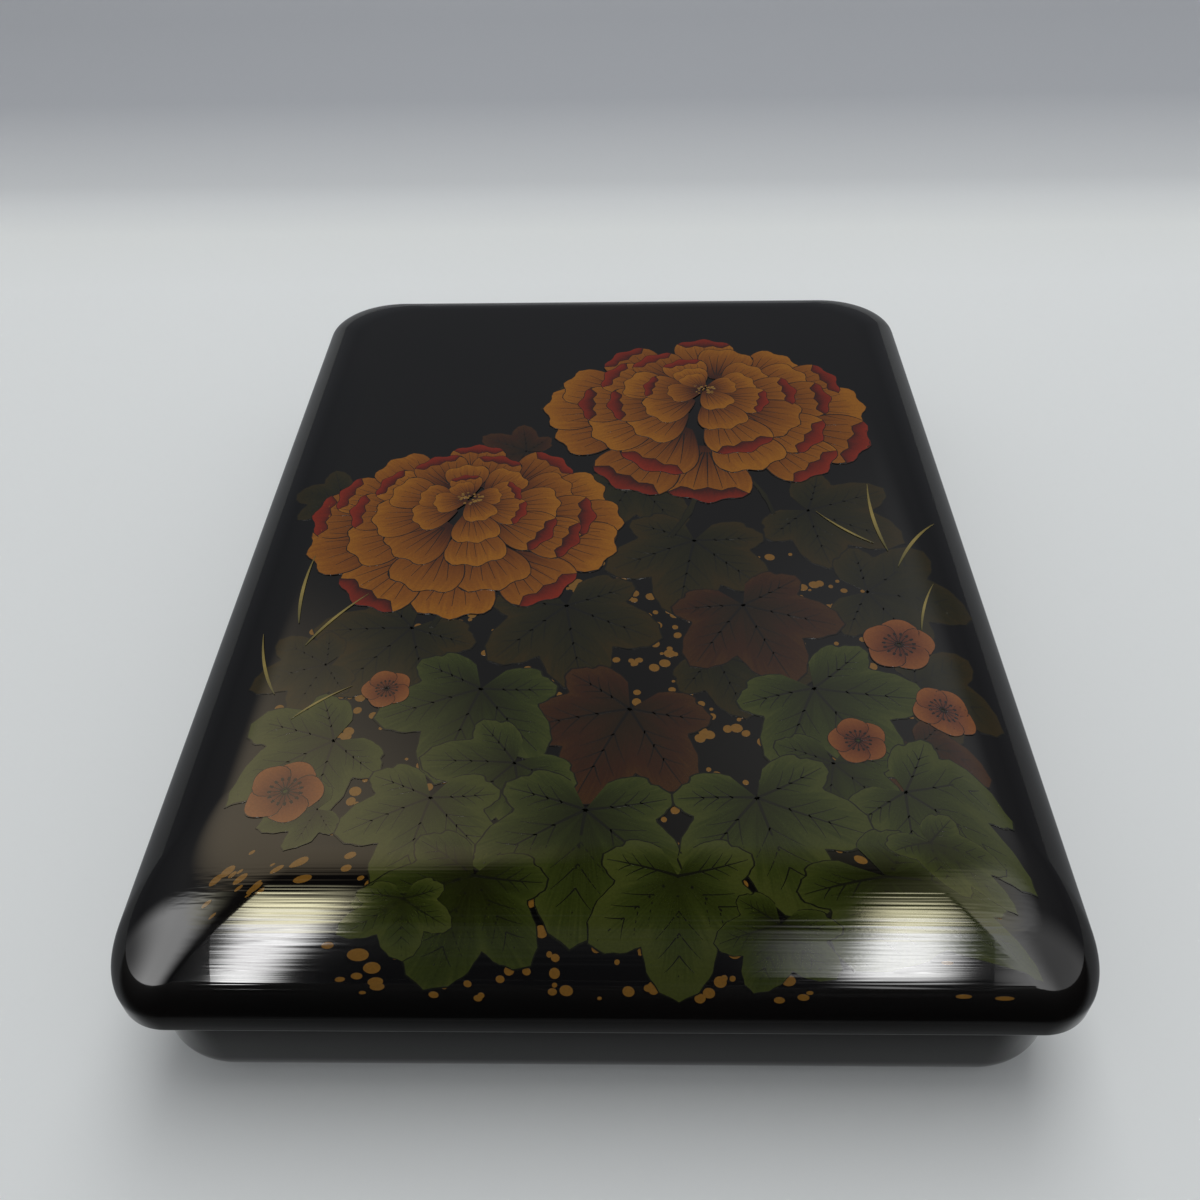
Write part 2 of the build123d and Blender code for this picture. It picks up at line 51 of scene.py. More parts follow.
# Lid
LID_WIDTH, LID_LENGTH = 260.0, 346.0
LID_CORNER, LID_TOP_CORNER = 16.0, 25.0
RIM_HEIGHT, BAND_HEIGHT, RIM_ROUND = 34.0, 7.0, 1.4
SHOULDER_WIDTH, SHOULDER_HEIGHT = 34.0, 28.6      # the last 0.4 mm up to the CAD top is left for the paint
SHOULDER_BASE = RIM_HEIGHT + BAND_HEIGHT
LID_TOP = SHOULDER_BASE + SHOULDER_HEIGHT
LID_WALL, SEAT_TOP, SEAT_INSET, SEAT_CORNER = 3.4, 46.5, 8.4, 18.0
VAULT_WIDTH, CEILING = 26.0, 65.0
WIDENING = (LID_TOP_CORNER - LID_CORNER) / (pi / 2)     # of the corner radius, by each radian up the shoulder
LID_HALF = np.array([LID_WIDTH / 2, LID_LENGTH / 2])

# Lower box
BOX_WIDTH, BOX_LENGTH, BOX_HEIGHT, BOX_CORNER = 252.2, 338.2, 46.4, 22.0
LOWER_ROUND_WIDTH, LOWER_ROUND_HEIGHT = 10.0, 12.0
BOX_WALL, BOX_FLOOR, FOOT_RECESS, FOOT_RING, BOX_RIM_ROUND = 4.0, 6.2, 1.2, 7.0, 1.0
FOOT_EASE = 0.3                                   # bevel of the foot ring's inner edge

# Levels of the curved parts, and steps round a quarter of the outline
SHOULDER_LEVELS, VAULT_LEVELS, LOWER_LEVELS, LID_RIM_LEVELS, BOX_RIM_LEVELS = 40, 20, 16, 6, 4
CORNER_STEPS, SHARP_FROM = 20, radians(30)

# Paint, in mm: its foot in the skin, the first coat, and each coat more
PAINT_SINK, PAINT_BASE, LAYER = 0.05, 0.05, 0.016


# Nodes

def linear(code):
    """A colour written as sRGB hex, as the linear values that shaders work in."""
    parts = [int(code[i:i + 2], 16) / 255 for i in (1, 3, 5)]
    return tuple(c / 12.92 if c <= 0.04045 else ((c + 0.055) / 1.055) ** 2.4 for c in parts) + (1.0,)


def add(tree, kind, inputs=(), out=0, stops=(), **settings):
    """Adds a node and returns its output out, or the node itself where out is None. A kind in capitals is an
    operation of the Math node. inputs gives sockets, in order or by name, a value or the output that feeds
    them. stops are the places and sRGB colours of a colour ramp."""
    if kind.isupper():
        kind, settings = "ShaderNodeMath", {"operation": kind}
    node = tree.nodes.new(kind)
    for name, value in settings.items():
        setattr(node, name, value)
    for socket, value in inputs.items() if isinstance(inputs, dict) else enumerate(inputs):
        if isinstance(value, bpy.types.NodeSocket):
            tree.links.new(value, node.inputs[socket])
        else:
            node.inputs[socket].default_value = value
    if stops:
        points = node.color_ramp.elements
        while len(points) < len(stops):
            points.new(0.5)
        for point, (place, code) in zip(points, stops):
            point.position, point.color = place, linear(code)
    return node if out is None else node.outputs[out]


def adder(tree):
    """The function add, kept to one tree."""
    return lambda kind, *given, **settings: add(tree, kind, *given, **settings)


def geometry_tree(name, inputs):
    """A node tree that gives geometry, the function that adds its nodes, and what its named inputs hold."""
    tree = bpy.data.node_groups.new(name, "GeometryNodeTree")
    tree.interface.new_socket("Geometry", in_out="OUTPUT", socket_type="NodeSocketGeometry")
    for label, kind in inputs.items():
        tree.interface.new_socket(label, in_out="INPUT", socket_type="NodeSocket" + kind)
    new = adder(tree)
    return tree, new, new("NodeGroupInput", out=None).outputs


def finish_geometry(new, shape, finish):
    """Ends a geometry tree: real geometry, with its material."""
    shape = new("GeometryNodeRealizeInstances", (shape,))
    shape = new("GeometryNodeSetMaterial", {"Geometry": shape, "Material": finish})
    new("NodeGroupOutput", (shape,), None)


# Materials: new adds a node to the material's own tree

def material(name):
    made = bpy.data.materials.new(name)
    made.use_nodes = True
    made.node_tree.nodes.clear()
    return made, adder(made.node_tree)


def finish_material(new, sockets):
    new("ShaderNodeOutputMaterial", (new("ShaderNodeBsdfPrincipled", sockets),), None)


def pattern(new, scale=1.0, detail=3.0, stretch=None, distortion=0.0):
    """Noise fixed to the piece: scale waves a metre, or along each axis as many as stretch says."""
    place = new("ShaderNodeTexCoord", out="Object")
    if stretch:
        place = new("ShaderNodeMapping", {"Vector": place, "Scale": stretch})
    return new("ShaderNodeTexNoise", {
        "Vector": place, "Scale": scale, "Detail": detail, "Distortion": distortion})


def grained(name, stops, rough, relief=None, sockets=None, **grain):
    """A material whose colour, roughness and relief follow one pattern. rough is one value, or those at the
    pattern's low and high; relief is the bump's strength, and its depth in metres."""
    made, new = material(name)
    figure = pattern(new, **grain)
    if isinstance(rough, tuple):
        rough = new("ShaderNodeMapRange", {"Value": figure, "To Min": rough[0], "To Max": rough[1]})
    looks = {"Base Color": new("ShaderNodeValToRGB", (figure,), stops=stops), "Roughness": rough,
             **(sockets or {})}
    if relief:
        strength, depth = relief
        looks["Normal"] = new("ShaderNodeBump", {"Height": figure, "Strength": strength, "Distance": depth})
    finish_material(new, looks)
    return made


def polish_marks(new):
    """Normal of hand-polished lacquer: long soft unevenness, and marks about 1 mm apart that run along the
    front and back shoulders between the corners, where the polisher's hand went from side to side."""
    soft = new("ShaderNodeBump", {"Height": pattern(new, 14.0, 1.0), "Strength": 0.35, "Distance": 0.0002})
    x, y, z = new("ShaderNodeSeparateXYZ", (new("ShaderNodeTexCoord", out="Object"),)).node.outputs
    # The marks begin over the lid's band, and leave out its corners and its top
    mask = new("ShaderNodeMapRange", {"Value": z, "From Min": 0.041, "From Max": 0.045})
    for axis, none, full in ((x, 0.112, 0.098), (y, 0.143, 0.152)):
        away = new("ABSOLUTE", (axis,))
        inside = new("ShaderNodeMapRange", {"Value": away, "From Min": none, "From Max": full})
        mask = new("MULTIPLY", (mask, inside))
    marks = new("MULTIPLY", (pattern(new, detail=1.0, stretch=(12.0, 900.0, 900.0)), mask))
    return new("ShaderNodeBump", {"Height": marks, "Strength": 1.0, "Distance": 0.00012, "Normal": soft})


def black_urushi():
    """Urushi lacquer, many coats polished to a mirror: near black, with a trace of brown where it is thin."""
    made, new = material("polished_black_urushi")
    cloud = pattern(new, 9.0)
    finish_material(new, {
        "Base Color": new("ShaderNodeValToRGB", (cloud,), stops=[(0.3, "#030303"), (0.7, "#070505")]),
        "Roughness": new("ShaderNodeMapRange", {"Value": cloud, "To Min": 0.035, "To Max": 0.075}),
        "IOR": 1.52, "Normal": polish_marks(new)})
    return made


def painted_lacquer(name, stops, streak, outline, outline_width):
    """Powdered pigment under clear lacquer: the colour runs from the heart of a motif to its tip along stops,
    is streaked by the brush, and ends in a dark outline. Attributes: along, across, edge in mm and tint. The
    powder's grains, 0.5 mm, are coarser than real ones so that they show."""
    made, new = material(name)
    along, across, edge, tint = (new("ShaderNodeAttribute", out="Fac", attribute_name=key)
                                 for key in ("along", "across", "edge", "tint"))
    brush = new("ShaderNodeCombineXYZ", (
        new("MULTIPLY", (across, 9.0)), along, new("MULTIPLY", (tint, 40.0))))
    hairs = new("ShaderNodeTexNoise", {"Vector": brush, "Scale": 1.6, "Detail": 4.0})
    wander = new("MULTIPLY", (new("SUBTRACT", (hairs, 0.5)), streak))
    shade = new("ADD", (along, wander))
    shade = new("MULTIPLY_ADD", (new("SUBTRACT", (tint, 0.5)), 0.45, shade))
    powder = new("ShaderNodeMapRange", {"Value": pattern(new, 1800.0, 2.0), "To Min": 0.72, "To Max": 1.25})
    colour = new("ShaderNodeValToRGB", (shade,), stops=stops)
    colour = new("ShaderNodeVectorMath", (colour, powder), operation="MULTIPLY")
    line = new("ShaderNodeMapRange", {
        "Value": edge, "From Min": outline_width, "From Max": outline_width * 1.6})
    colour = new("ShaderNodeMix", {0: line, 6: linear(outline), 7: colour}, 2, data_type="RGBA")
    finish_material(new, {
        "Base Color": colour, "Roughness": 0.42, "Specular IOR Level": 0.0, "Coat Weight": 1.0,
        "Coat Roughness": 0.05, "Coat IOR": 1.52, "Coat Normal": polish_marks(new)})
    return made


def satin_board_lacquer():
    """Plain black lacquer on thin boards, left satin: dark brown-black, with a faint 2 mm wood grain."""
    return grained("satin_black_lacquered_board", [(0.3, "#120d0b"), (0.75, "#241a16")], (0.24, 0.4),
                   (0.4, 0.00008), {"IOR": 1.5}, stretch=(420.0, 26.0, 420.0))


def honed_slate():
    """Fine dark slate, honed for grinding ink: blue-grey and cloudy, with pale mica specks 1 mm apart."""
    made, new = material("honed_slate")
    bedding = pattern(new, 45.0, 6.0, distortion=0.8)
    stone = new("ShaderNodeValToRGB", (bedding,), stops=[
        (0.3, "#2b2e33"), (0.55, "#383b42"), (0.8, "#4a4d54")])
    place = new("ShaderNodeTexCoord", out="Object")
    mica = new("ShaderNodeTexVoronoi", {"Vector": place, "Scale": 900.0}, "Distance")
    speck = new("ShaderNodeValToRGB", (mica,), stops=[(0.04, "#8a8d90"), (0.09, "#000000")])
    colour = new("ShaderNodeMix", {0: 0.35, 6: stone, 7: speck}, 2, data_type="RGBA", blend_type="ADD")
    grit = new("ShaderNodeBump", {"Height": pattern(new, 2500.0, 2.0), "Strength": 0.35, "Distance": 0.00005})
    finish_material(new, {"Base Color": colour, "Roughness": 0.52, "IOR": 1.55, "Normal": grit})
    return made


def brass(name, light, dark, low, high):
    """Copper and zinc alloy, brushed and handled: yellow, with darker breath marks and 0.2 mm scratches."""
    made, new = material(name)
    breath = pattern(new, 90.0, 5.0)
    scratches = pattern(new, detail=2.0, stretch=(200.0, 6000.0, 6000.0))
    finish_material(new, {
        "Base Color": new("ShaderNodeValToRGB", (breath,), stops=[(0.35, dark), (0.65, light)]),
        "Roughness": new("ShaderNodeMapRange", {"Value": breath, "To Min": high, "To Max": low}),
        "Normal": new("ShaderNodeBump", {"Height": scratches, "Strength": 0.3, "Distance": 0.00002}),
        "Metallic": 1.0})
    return made


def soot_ink():
    """Soot and glue pressed in a mould: matt black, a little polished in places, with a fine grain."""
    return grained("pressed_soot_ink", [(0.3, "#0d0d0f"), (0.8, "#1b1b1e")], (0.35, 0.62), (0.5, 0.00008),
                   {"IOR": 1.5}, scale=220.0, detail=5.0)


def bamboo():
    """Peeled bamboo, oiled: pale straw with long brown fibres, 0.5 mm wide, that run along the handle."""
    made, new = material("oiled_bamboo")
    fibre = pattern(new, detail=4.0, stretch=(1900.0, 22.0, 1900.0))
    straw = new("ShaderNodeValToRGB", (fibre,), stops=[(0.25, "#8f6a38"), (0.5, "#c39a5b"), (0.8, "#d8b67c")])
    warm = new("ShaderNodeValToRGB", (pattern(new, 35.0, 2.0),), stops=[(0.3, "#d9b183"), (0.7, "#ffffff")])
    colour = new("ShaderNodeMix", {0: 0.6, 6: straw, 7: warm}, 2, data_type="RGBA", blend_type="MULTIPLY")
    finish_material(new, {
        "Base Color": colour, "Roughness": 0.33, "IOR": 1.5, "Coat Weight": 0.25, "Coat Roughness": 0.2,
        "Normal": new("ShaderNodeBump", {"Height": fibre, "Strength": 0.35, "Distance": 0.00006})})
    return made


def buffalo_horn():
    """Polished dark horn: brown-black with paler 4 mm streaks, and light sinks a little into it."""
    return grained("polished_horn", [(0.35, "#120c09"), (0.6, "#2a1c12"), (0.8, "#6e5232")], 0.14,
                   sockets={"IOR": 1.54, "Subsurface Weight": 0.08, "Subsurface Scale": 0.002},
                   detail=4.0, stretch=(260.0, 60.0, 260.0))


def sized_hair():
    """Goat and weasel hair set with glue size: cream to tawny. The hairs lie parallel and are 0.3 mm apart,
    coarser than real ones, so that they show."""
    return grained("sized_brush_hair", [(0.3, "#8d6c45"), (0.55, "#cdb48b"), (0.8, "#eadcbe")], 0.5,
                   (0.8, 0.00015), {"IOR": 1.55, "Sheen Weight": 0.3, "Sheen Roughness": 0.4},
                   stretch=(3200.0, 70.0, 3200.0))


def oiled_rosewood():
    """Rosewood, turned or planed and oiled: red-brown, with near-black growth lines 3 mm apart."""
    growth = [(0.32, "#1d0c07"), (0.5, "#55261a"), (0.62, "#703722"), (0.8, "#3a1810")]
    return grained("oiled_rosewood", growth, (0.42, 0.26), (0.3, 0.00008), {"IOR": 1.5}, detail=6.0,
                   stretch=(330.0, 16.0, 330.0), distortion=1.2)


def ground_steel():
    """Hardened steel, ground across and stoned: pale grey with parallel grinding lines, 0.14 mm apart."""
    return grained("ground_steel", [(0.3, "#a3a5a8"), (0.7, "#c6c7c9")], (0.18, 0.34), (0.35, 0.00002),
                   {"Metallic": 1.0}, detail=2.0, stretch=(60.0, 7000.0, 60.0))


URUSHI = black_urushi()
FINISHES = {
    "board_lacquer": satin_board_lacquer(), "slate": honed_slate(),
    "dropper_brass": brass("aged_satin_brass", "#c59d55", "#8a6531", 0.24, 0.42),
    "collar_brass": brass("polished_brass", "#d9b463", "#a87f3f", 0.12, 0.28),
    "ink": soot_ink(), "bamboo": bamboo(), "horn": buffalo_horn(), "hair": sized_hair(),
    "rosewood": oiled_rosewood(), "steel": ground_steel(), "box_lacquer": URUSHI, "lid_lacquer": URUSHI,
}
for part in frame["record"]["subparts"]:
    skin = nodes[part["node"]].data
    skin.materials.clear()
    skin.materials.append(FINISHES[part["material_slot"]])


# Camera, floor and light

FOCAL_PIXELS, PHOTO_PIXELS, SENSOR = 1152.1, 1200, 36
CAMERA_PLACE = (0.00736, -0.31551, 0.31976)
CAMERA_PITCH, CAMERA_YAW, CAMERA_ROLL = 42.795, -1.856, -1.426      # degrees
FLOOR_REACH = 4
LAMP_SIZE, LAMP_DISTANCE, LAMP_POWER = (1.8, 3.2), 3.0, 46.0


def photo_camera():
    """The camera as fitted to the photograph: 34.6 mm lens, at arm's length in front of and above the box."""
    lens = bpy.data.cameras.new("photo_camera")
    lens.lens, lens.sensor_width, lens.clip_start = FOCAL_PIXELS / PHOTO_PIXELS * SENSOR, SENSOR, 0.01
    camera = bpy.data.objects.new("photo_camera", lens)
    pitch, yaw, roll = radians(CAMERA_PITCH), radians(CAMERA_YAW), radians(CAMERA_ROLL)
    ahead = Vector((sin(yaw) * cos(pitch), cos(yaw) * cos(pitch), -sin(pitch)))
    level = Vector((cos(yaw), -sin(yaw), 0))
    upright = level.cross(ahead)
    right = cos(roll) * level + sin(roll) * upright
    up = -sin(roll) * level + cos(roll) * upright
    camera.matrix_world = Matrix.Translation(CAMERA_PLACE) @ Matrix((right, up, -ahead)).transposed().to_4x4()
    bpy.context.scene.collection.objects.link(camera)
    bpy.context.scene.camera = camera


def pale_floor():
    """A pale paper floor, with painted shade that greys it towards the back. What the gloss mirrors of it is
    a painted reflection: dimmer at the sides and the back, and a painted dark room in front of the box."""
    made, new = material("pale_floor_paper")
    x, y, _ = new("ShaderNodeSeparateXYZ", (new("ShaderNodeNewGeometry"),)).node.outputs
    # depth sets where painted shade greys the floor; side, back and front set where the painted reflection
    # dims
    fades = ((y, 0.30, 0.80), (new("ABSOLUTE", (x,)), 0.132, 0.162), (y, 0.175, 0.20), (y, -0.170, -0.210))
    depth, side, back, front = (
        new("ShaderNodeMapRange", {"Value": value, "From Min": start, "From Max": end})
        for value, start, end in fades)
    # The floor's colour: pale near the box, greyed towards the back by painted shade
    paper = new("ShaderNodeValToRGB", (depth,), stops=[
        (0.0, "#e6e9e9"), (0.14, "#e1e4e3"), (0.226, "#d4d7d8"), (0.29, "#c5c8ca"), (0.6, "#a5a8ad"),
        (1.0, "#9fa2a7")])
    # Painted reflection, seen only in the gloss: a dark room and a shaded floor in front of the box
    front = new("ShaderNodeValToRGB", (front,), stops=[
        (0.0, "#ffffff"), (0.35, "#aaaaaa"), (0.47, "#828282"), (0.62, "#616161"), (0.8, "#1c1c1c"),
        (1.0, "#0a0a0a")])
    # Painted reflection, seen only in the gloss: the floor mirrored dimmer beyond the sides and the back
    around = new("MAXIMUM", (side, back))
    painted_dim_reflection = new("ShaderNodeMix", {0: around, 6: paper, 7: linear("#828486")}, 2, data_type="RGBA")
    painted_dim_reflection = new("ShaderNodeVectorMath", (painted_dim_reflection, front), operation="MULTIPLY")
    mirrored = new("ShaderNodeLightPath", out="Is Glossy Ray")
    colour = new("ShaderNodeMix", {0: mirrored, 6: paper, 7: painted_dim_reflection}, 2, data_type="RGBA")
    finish_material(new, {"Base Color": colour, "Roughness": 0.8, "Specular IOR Level": 0.1})
    mesh = bpy.data.meshes.new("floor")
    corners = [(x * FLOOR_REACH, y * FLOOR_REACH, 0) for x, y in ((-1, -1), (1, -1), (1, 1), (-1, 1))]
    mesh.from_pydata(corners, [], [(0, 1, 2, 3)])
    mesh.materials.append(made)
    floor = bpy.data.objects.new("floor", mesh)
    bpy.context.scene.collection.objects.link(floor)


def room_light():
    """The room. What the gloss mirrors is dim, bluish low down and dark overhead and in front, with a warm
    window high behind on the left, two tall bright windows in front, yellower at the top, and a pale pane
    beyond each of them. What lights the object is even and soft, and the camera sees a plain grey."""
    world = bpy.data.worlds.new("soft_room")
    bpy.context.scene.world = world
    world.use_nodes = True
    world.node_tree.nodes.clear()
    new = adder(world.node_tree)
    direction = new("ShaderNodeTexCoord", out="Generated")
    x, y, z = new("ShaderNodeSeparateXYZ", (direction,)).node.outputs
    ahead = new("MULTIPLY", (y, -1.0))

    tone = new("ShaderNodeValToRGB", (z,), stops=[
        (0.0, "#5c5e62"), (0.26, "#5e6064"), (0.5, "#74767a"), (0.67, "#8b8c8e"), (0.77, "#838383"),
        (0.87, "#515151"), (0.96, "#2d2d2d")])

    # Blinds across the windows
    slats = new("ShaderNodeTexNoise", {"W": z, "Scale": 55.0, "Detail": 2.0}, noise_dimensions="1D")
    slats = new("ShaderNodeMapRange", {
        "Value": slats, "From Min": 0.3, "From Max": 0.7, "To Min": 0.55, "To Max": 1.25})

    # How far inside each edge of the two windows, which lean a little
    left_outer = new("SUBTRACT", (x, new("MULTIPLY_ADD", (z, 0.02, -0.332))))
    left_inner = new("SUBTRACT", (new("MULTIPLY_ADD", (new("MULTIPLY", (z, z)), 0.06, -0.288)), x))
    right_inner = new("SUBTRACT", (x, new("MULTIPLY_ADD", (z, 0.03, 0.178))))
    right_outer = new("SUBTRACT", (new("MULTIPLY_ADD", (z, 0.01, 0.247)), x))

    # How near the direction is to each of three
    warm_window, right_high, right_behind = (
        new("ShaderNodeVectorMath", (direction, Vector(place).normalized()), "Value", operation="DOT_PRODUCT")
        for place in ((-0.38, 0.43, 0.82), (0.52, 0.0, 0.85), (0.40, 0.50, 0.77)))

    # Each light's strength, its blinds, and where it fades in: measure, start, end
    lights = {
        "dark in front": (0.5, 1.0, [(ahead, 0.0, 0.3)]),
        "warm window": (1.4, 1.0, [(warm_window, 0.93, 1.0)]),
        "left window": (20.0, slats, [(left_outer, -0.010, 0.014), (left_inner, -0.020, 0.016),
                                      (ahead, -0.06, 0.30), (ahead, -0.06, 0.30)]),
        "right window": (18.5, slats, [(right_inner, -0.022, 0.020), (right_outer, -0.024, 0.018),
                                       (ahead, 0.10, 0.46), (z, -0.01, 0.16)]),
        "beside the right window": (2.2, 1.0, [(x, 0.09, 0.18), (x, 0.275, 0.245), (ahead, 0.5, 0.75),
                                               (z, 0.05, 0.25)]),
        "left pane": (4.0, 1.0, [(x, -0.42, -0.66), (x, -1.05, -0.76), (ahead, -0.16, 0.04)]),
        "right pane": (2.5, 1.0, [(x, 0.285, 0.325), (x, 0.76, 0.38), (ahead, 0.05, 0.40)]),
        "right wall": (0.8, 1.0, [(x, 0.40, 0.62), (ahead, -0.10, 0.25)]),
        "high on the right": (1.2, 1.0, [(right_high, 0.93, 0.99)]),
        "high behind on the right": (0.3, 1.0, [(right_behind, 0.90, 1.0)]),
    }
    for name, (strength, light, fades) in lights.items():
        for measure, start, end in fades:
            share = new("ShaderNodeMapRange", {"Value": measure, "From Min": start, "From Max": end},
                        interpolation_type="SMOOTHSTEP")
            light = new("MULTIPLY", (light, share))
        lights[name] = new("MULTIPLY", (light, strength))

    darker = new("SUBTRACT", (1.0, lights.pop("dark in front")))
    tone = new("ShaderNodeVectorMath", (tone, darker), operation="MULTIPLY")
    warm = new("ShaderNodeVectorMath", {0: (1.0, 0.82, 0.56), 3: lights.pop("warm window")},
               operation="SCALE")
    glow = 0.0
    for light in lights.values():
        glow = new("ADD", (glow, light))
    tint = new("ShaderNodeValToRGB", (z,), stops=[(0.72, "#ffffff"), (0.9, "#f8f1c8")])
    glow = new("ShaderNodeVectorMath", (glow, tint), operation="MULTIPLY")
    seen = new("ShaderNodeVectorMath", (new("ShaderNodeVectorMath", (tone, warm)), glow))

    mirrored = new("ShaderNodeBackground", {"Color": seen})
    even = new("ShaderNodeBackground", {"Color": (0.39, 0.395, 0.405, 1)})
    plain = new("ShaderNodeBackground", {"Color": linear("#8f9297")})
    glossy, camera = (new("ShaderNodeLightPath", out=ray) for ray in ("Is Glossy Ray", "Is Camera Ray"))
    mixed = new("ShaderNodeMixShader", (glossy, even, mirrored))
    mixed = new("ShaderNodeMixShader", (camera, mixed, plain))
    new("ShaderNodeOutputWorld", (mixed,), None)


def soft_back_lamp():
    """A large softbox high behind the box, which throws the shadow forwards and is left out of the gloss."""
    lamp = bpy.data.lights.new("soft_back_lamp", "AREA")
    lamp.shape, lamp.energy = "RECTANGLE", LAMP_POWER
    lamp.size, lamp.size_y = LAMP_SIZE
    holder = bpy.data.objects.new("soft_back_lamp", lamp)
    facing = Vector((0.05, 0.31, 0.95)).normalized()
    turn = facing.to_track_quat("Z", "Y").to_matrix().to_4x4()
    holder.matrix_world = Matrix.Translation(facing * LAMP_DISTANCE) @ turn
    holder.visible_glossy = False
    bpy.context.scene.collection.objects.link(holder)


bpy.context.scene.view_settings.view_transform = "Standard"
photo_camera()
pale_floor()
room_light()
soft_back_lamp()


# Lid and lower box: one ring of the outline for each level of the profile

def level_ring_tree():
    """Each point of the profile holds how far in, corner radius and height; its ring is a rounded rectangle.
    Each quarter of a ring has one corner's points, and the straight parts lie between the corners."""
    tree, new, given = geometry_tree("rings_of_the_outline", {
        "Profile": "Geometry", "Width": "Float", "Length": "Float", "Corner Steps": "Int",
        "Lacquer": "Material"})
    levels = new("GeometryNodeAttributeDomainSize", (given["Profile"],), "Point Count")
    points = new("ADD", (given["Corner Steps"], 1.0))
    columns = new("MULTIPLY_ADD", (points, 4.0, 1.0))
    grid = new("GeometryNodeMeshGrid", {"Vertices X": columns, "Vertices Y": levels})
    index = new("GeometryNodeInputIndex")
    column = new("FLOOR", (new("DIVIDE", (new("ADD", (index, 0.5)), levels)),))
    level = new("SUBTRACT", (index, new("MULTIPLY", (column, levels))))
    quarter = new("FLOOR", (new("DIVIDE", (new("ADD", (column, 0.5)), points)),))
    step = new("SUBTRACT", (column, new("MULTIPLY", (quarter, points))))
    turn = new("MULTIPLY", (new("ADD", (quarter, new("DIVIDE", (step, given["Corner Steps"])))), pi / 2))
    middle = new("MULTIPLY", (new("ADD", (quarter, 0.5)), pi / 2))
    profile = new("GeometryNodeSampleIndex", {
        "Geometry": given["Profile"], "Value": new("GeometryNodeInputPosition"), "Index": level},
        data_type="FLOAT_VECTOR")
    inset, corner, height = new("ShaderNodeSeparateXYZ", (profile,)).node.outputs
    reach = new("ADD", (inset, corner))
    place = []
    for size, wave in (("Width", "COSINE"), ("Length", "SINE")):
        centre = new("SUBTRACT", (new("MULTIPLY", (given[size], 0.5)), reach))
        centre = new("MULTIPLY", (new("SIGN", (new(wave, (middle,)),)), centre))
        place.append(new("ADD", (centre, new("MULTIPLY", (new(wave, (turn,)), corner)))))
    place = new("ShaderNodeCombineXYZ", (*place, height))
    shell = new("GeometryNodeSetPosition", {"Geometry": grid, "Position": place})
    shell = new("GeometryNodeMergeByDistance", {"Geometry": shell, "Distance": 1e-6})
    finish_geometry(new, shell, given["Lacquer"])
    return tree


def grow(tree, source, values, name):
    """Runs a node tree on source with its named inputs, and returns a plain mesh object of the result."""
    start = bpy.data.objects.new(name + "_start", source)
    bpy.context.scene.collection.objects.link(start)
    modifier = start.modifiers.new("grow", "NODES")
    modifier.node_group = tree
    for item in tree.interface.items_tree:
        if item.item_type == "SOCKET" and item.in_out == "INPUT" and item.name in values:
            modifier[item.identifier] = values[item.name]
    bpy.context.view_layer.update()
    grown = start.evaluated_get(bpy.context.evaluated_depsgraph_get())
    mesh = bpy.data.meshes.new_from_object(grown)
    mesh.name = name
    bpy.data.objects.remove(start)
    piece = bpy.data.objects.new(name, mesh)
    bpy.context.scene.collection.objects.link(piece)
    return piece


def quarter_turn(width, height, start_corner, end_corner, steps):
    """Levels of a quarter ellipse from upright to level: how far in, corner radius, how high."""
    turns = [pi / 2 * step / steps for step in range(steps + 1)]
    return [(width * (1 - cos(turn)), start_corner + (end_corner - start_corner) * step / steps,
             height * sin(turn)) for step, turn in enumerate(turns)]


def rim(edge, inwards, radius, wall, corner, steps):
    """Levels of a wall's rounded end, from its outer to its inner side: edge is its height, and inwards is 1
    where the wall stands over it and -1 where the wall stands under it."""
    leans = [pi / 2 * step / steps for step in range(steps + 1)]
    outer = [(radius * (1 - cos(lean)), radius * (1 - sin(lean))) for lean in leans]
    inner = [(wall - radius * (1 - sin(lean)), radius * (1 - cos(lean))) for lean in leans]
    return [(inset, corner - inset, edge + inwards * rise) for inset, rise in outer + inner]


def shell_of(name, profile, width, length, body, node):
    source = bpy.data.meshes.new(name + "_profile")
    source.from_pydata([tuple(MM * c for c in point) for point in profile],
                       [(i, i + 1) for i in range(len(profile) - 1)], [])
    piece = grow(RINGS, source, {"Width": width * MM, "Length": length * MM, "Corner Steps": CORNER_STEPS,
                                 "Lacquer": URUSHI}, name)
    work = bmesh.new()
    work.from_mesh(piece.data)
    bmesh.ops.recalc_face_normals(work, faces=work.faces)
    for face in work.faces:
        face.smooth = True
    for edge in work.edges:
        edge.smooth = edge.calc_face_angle(0) < SHARP_FROM
    work.to_mesh(piece.data)
    work.free()
    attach(piece, body)
    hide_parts(node)
    return piece


def shoulder_normal(heading, side, turn):
    """Normals of the lid's shoulder where its outline faces heading, at a turn up its quarter ellipse."""
    level = SHOULDER_HEIGHT * np.cos(turn)
    upright = (SHOULDER_WIDTH * np.sin(turn) + WIDENING) * heading.sum(1) - WIDENING
    normal = np.column_stack([heading * side * level[:, None], upright])
    return normal / np.linalg.norm(normal, axis=1)[:, None]


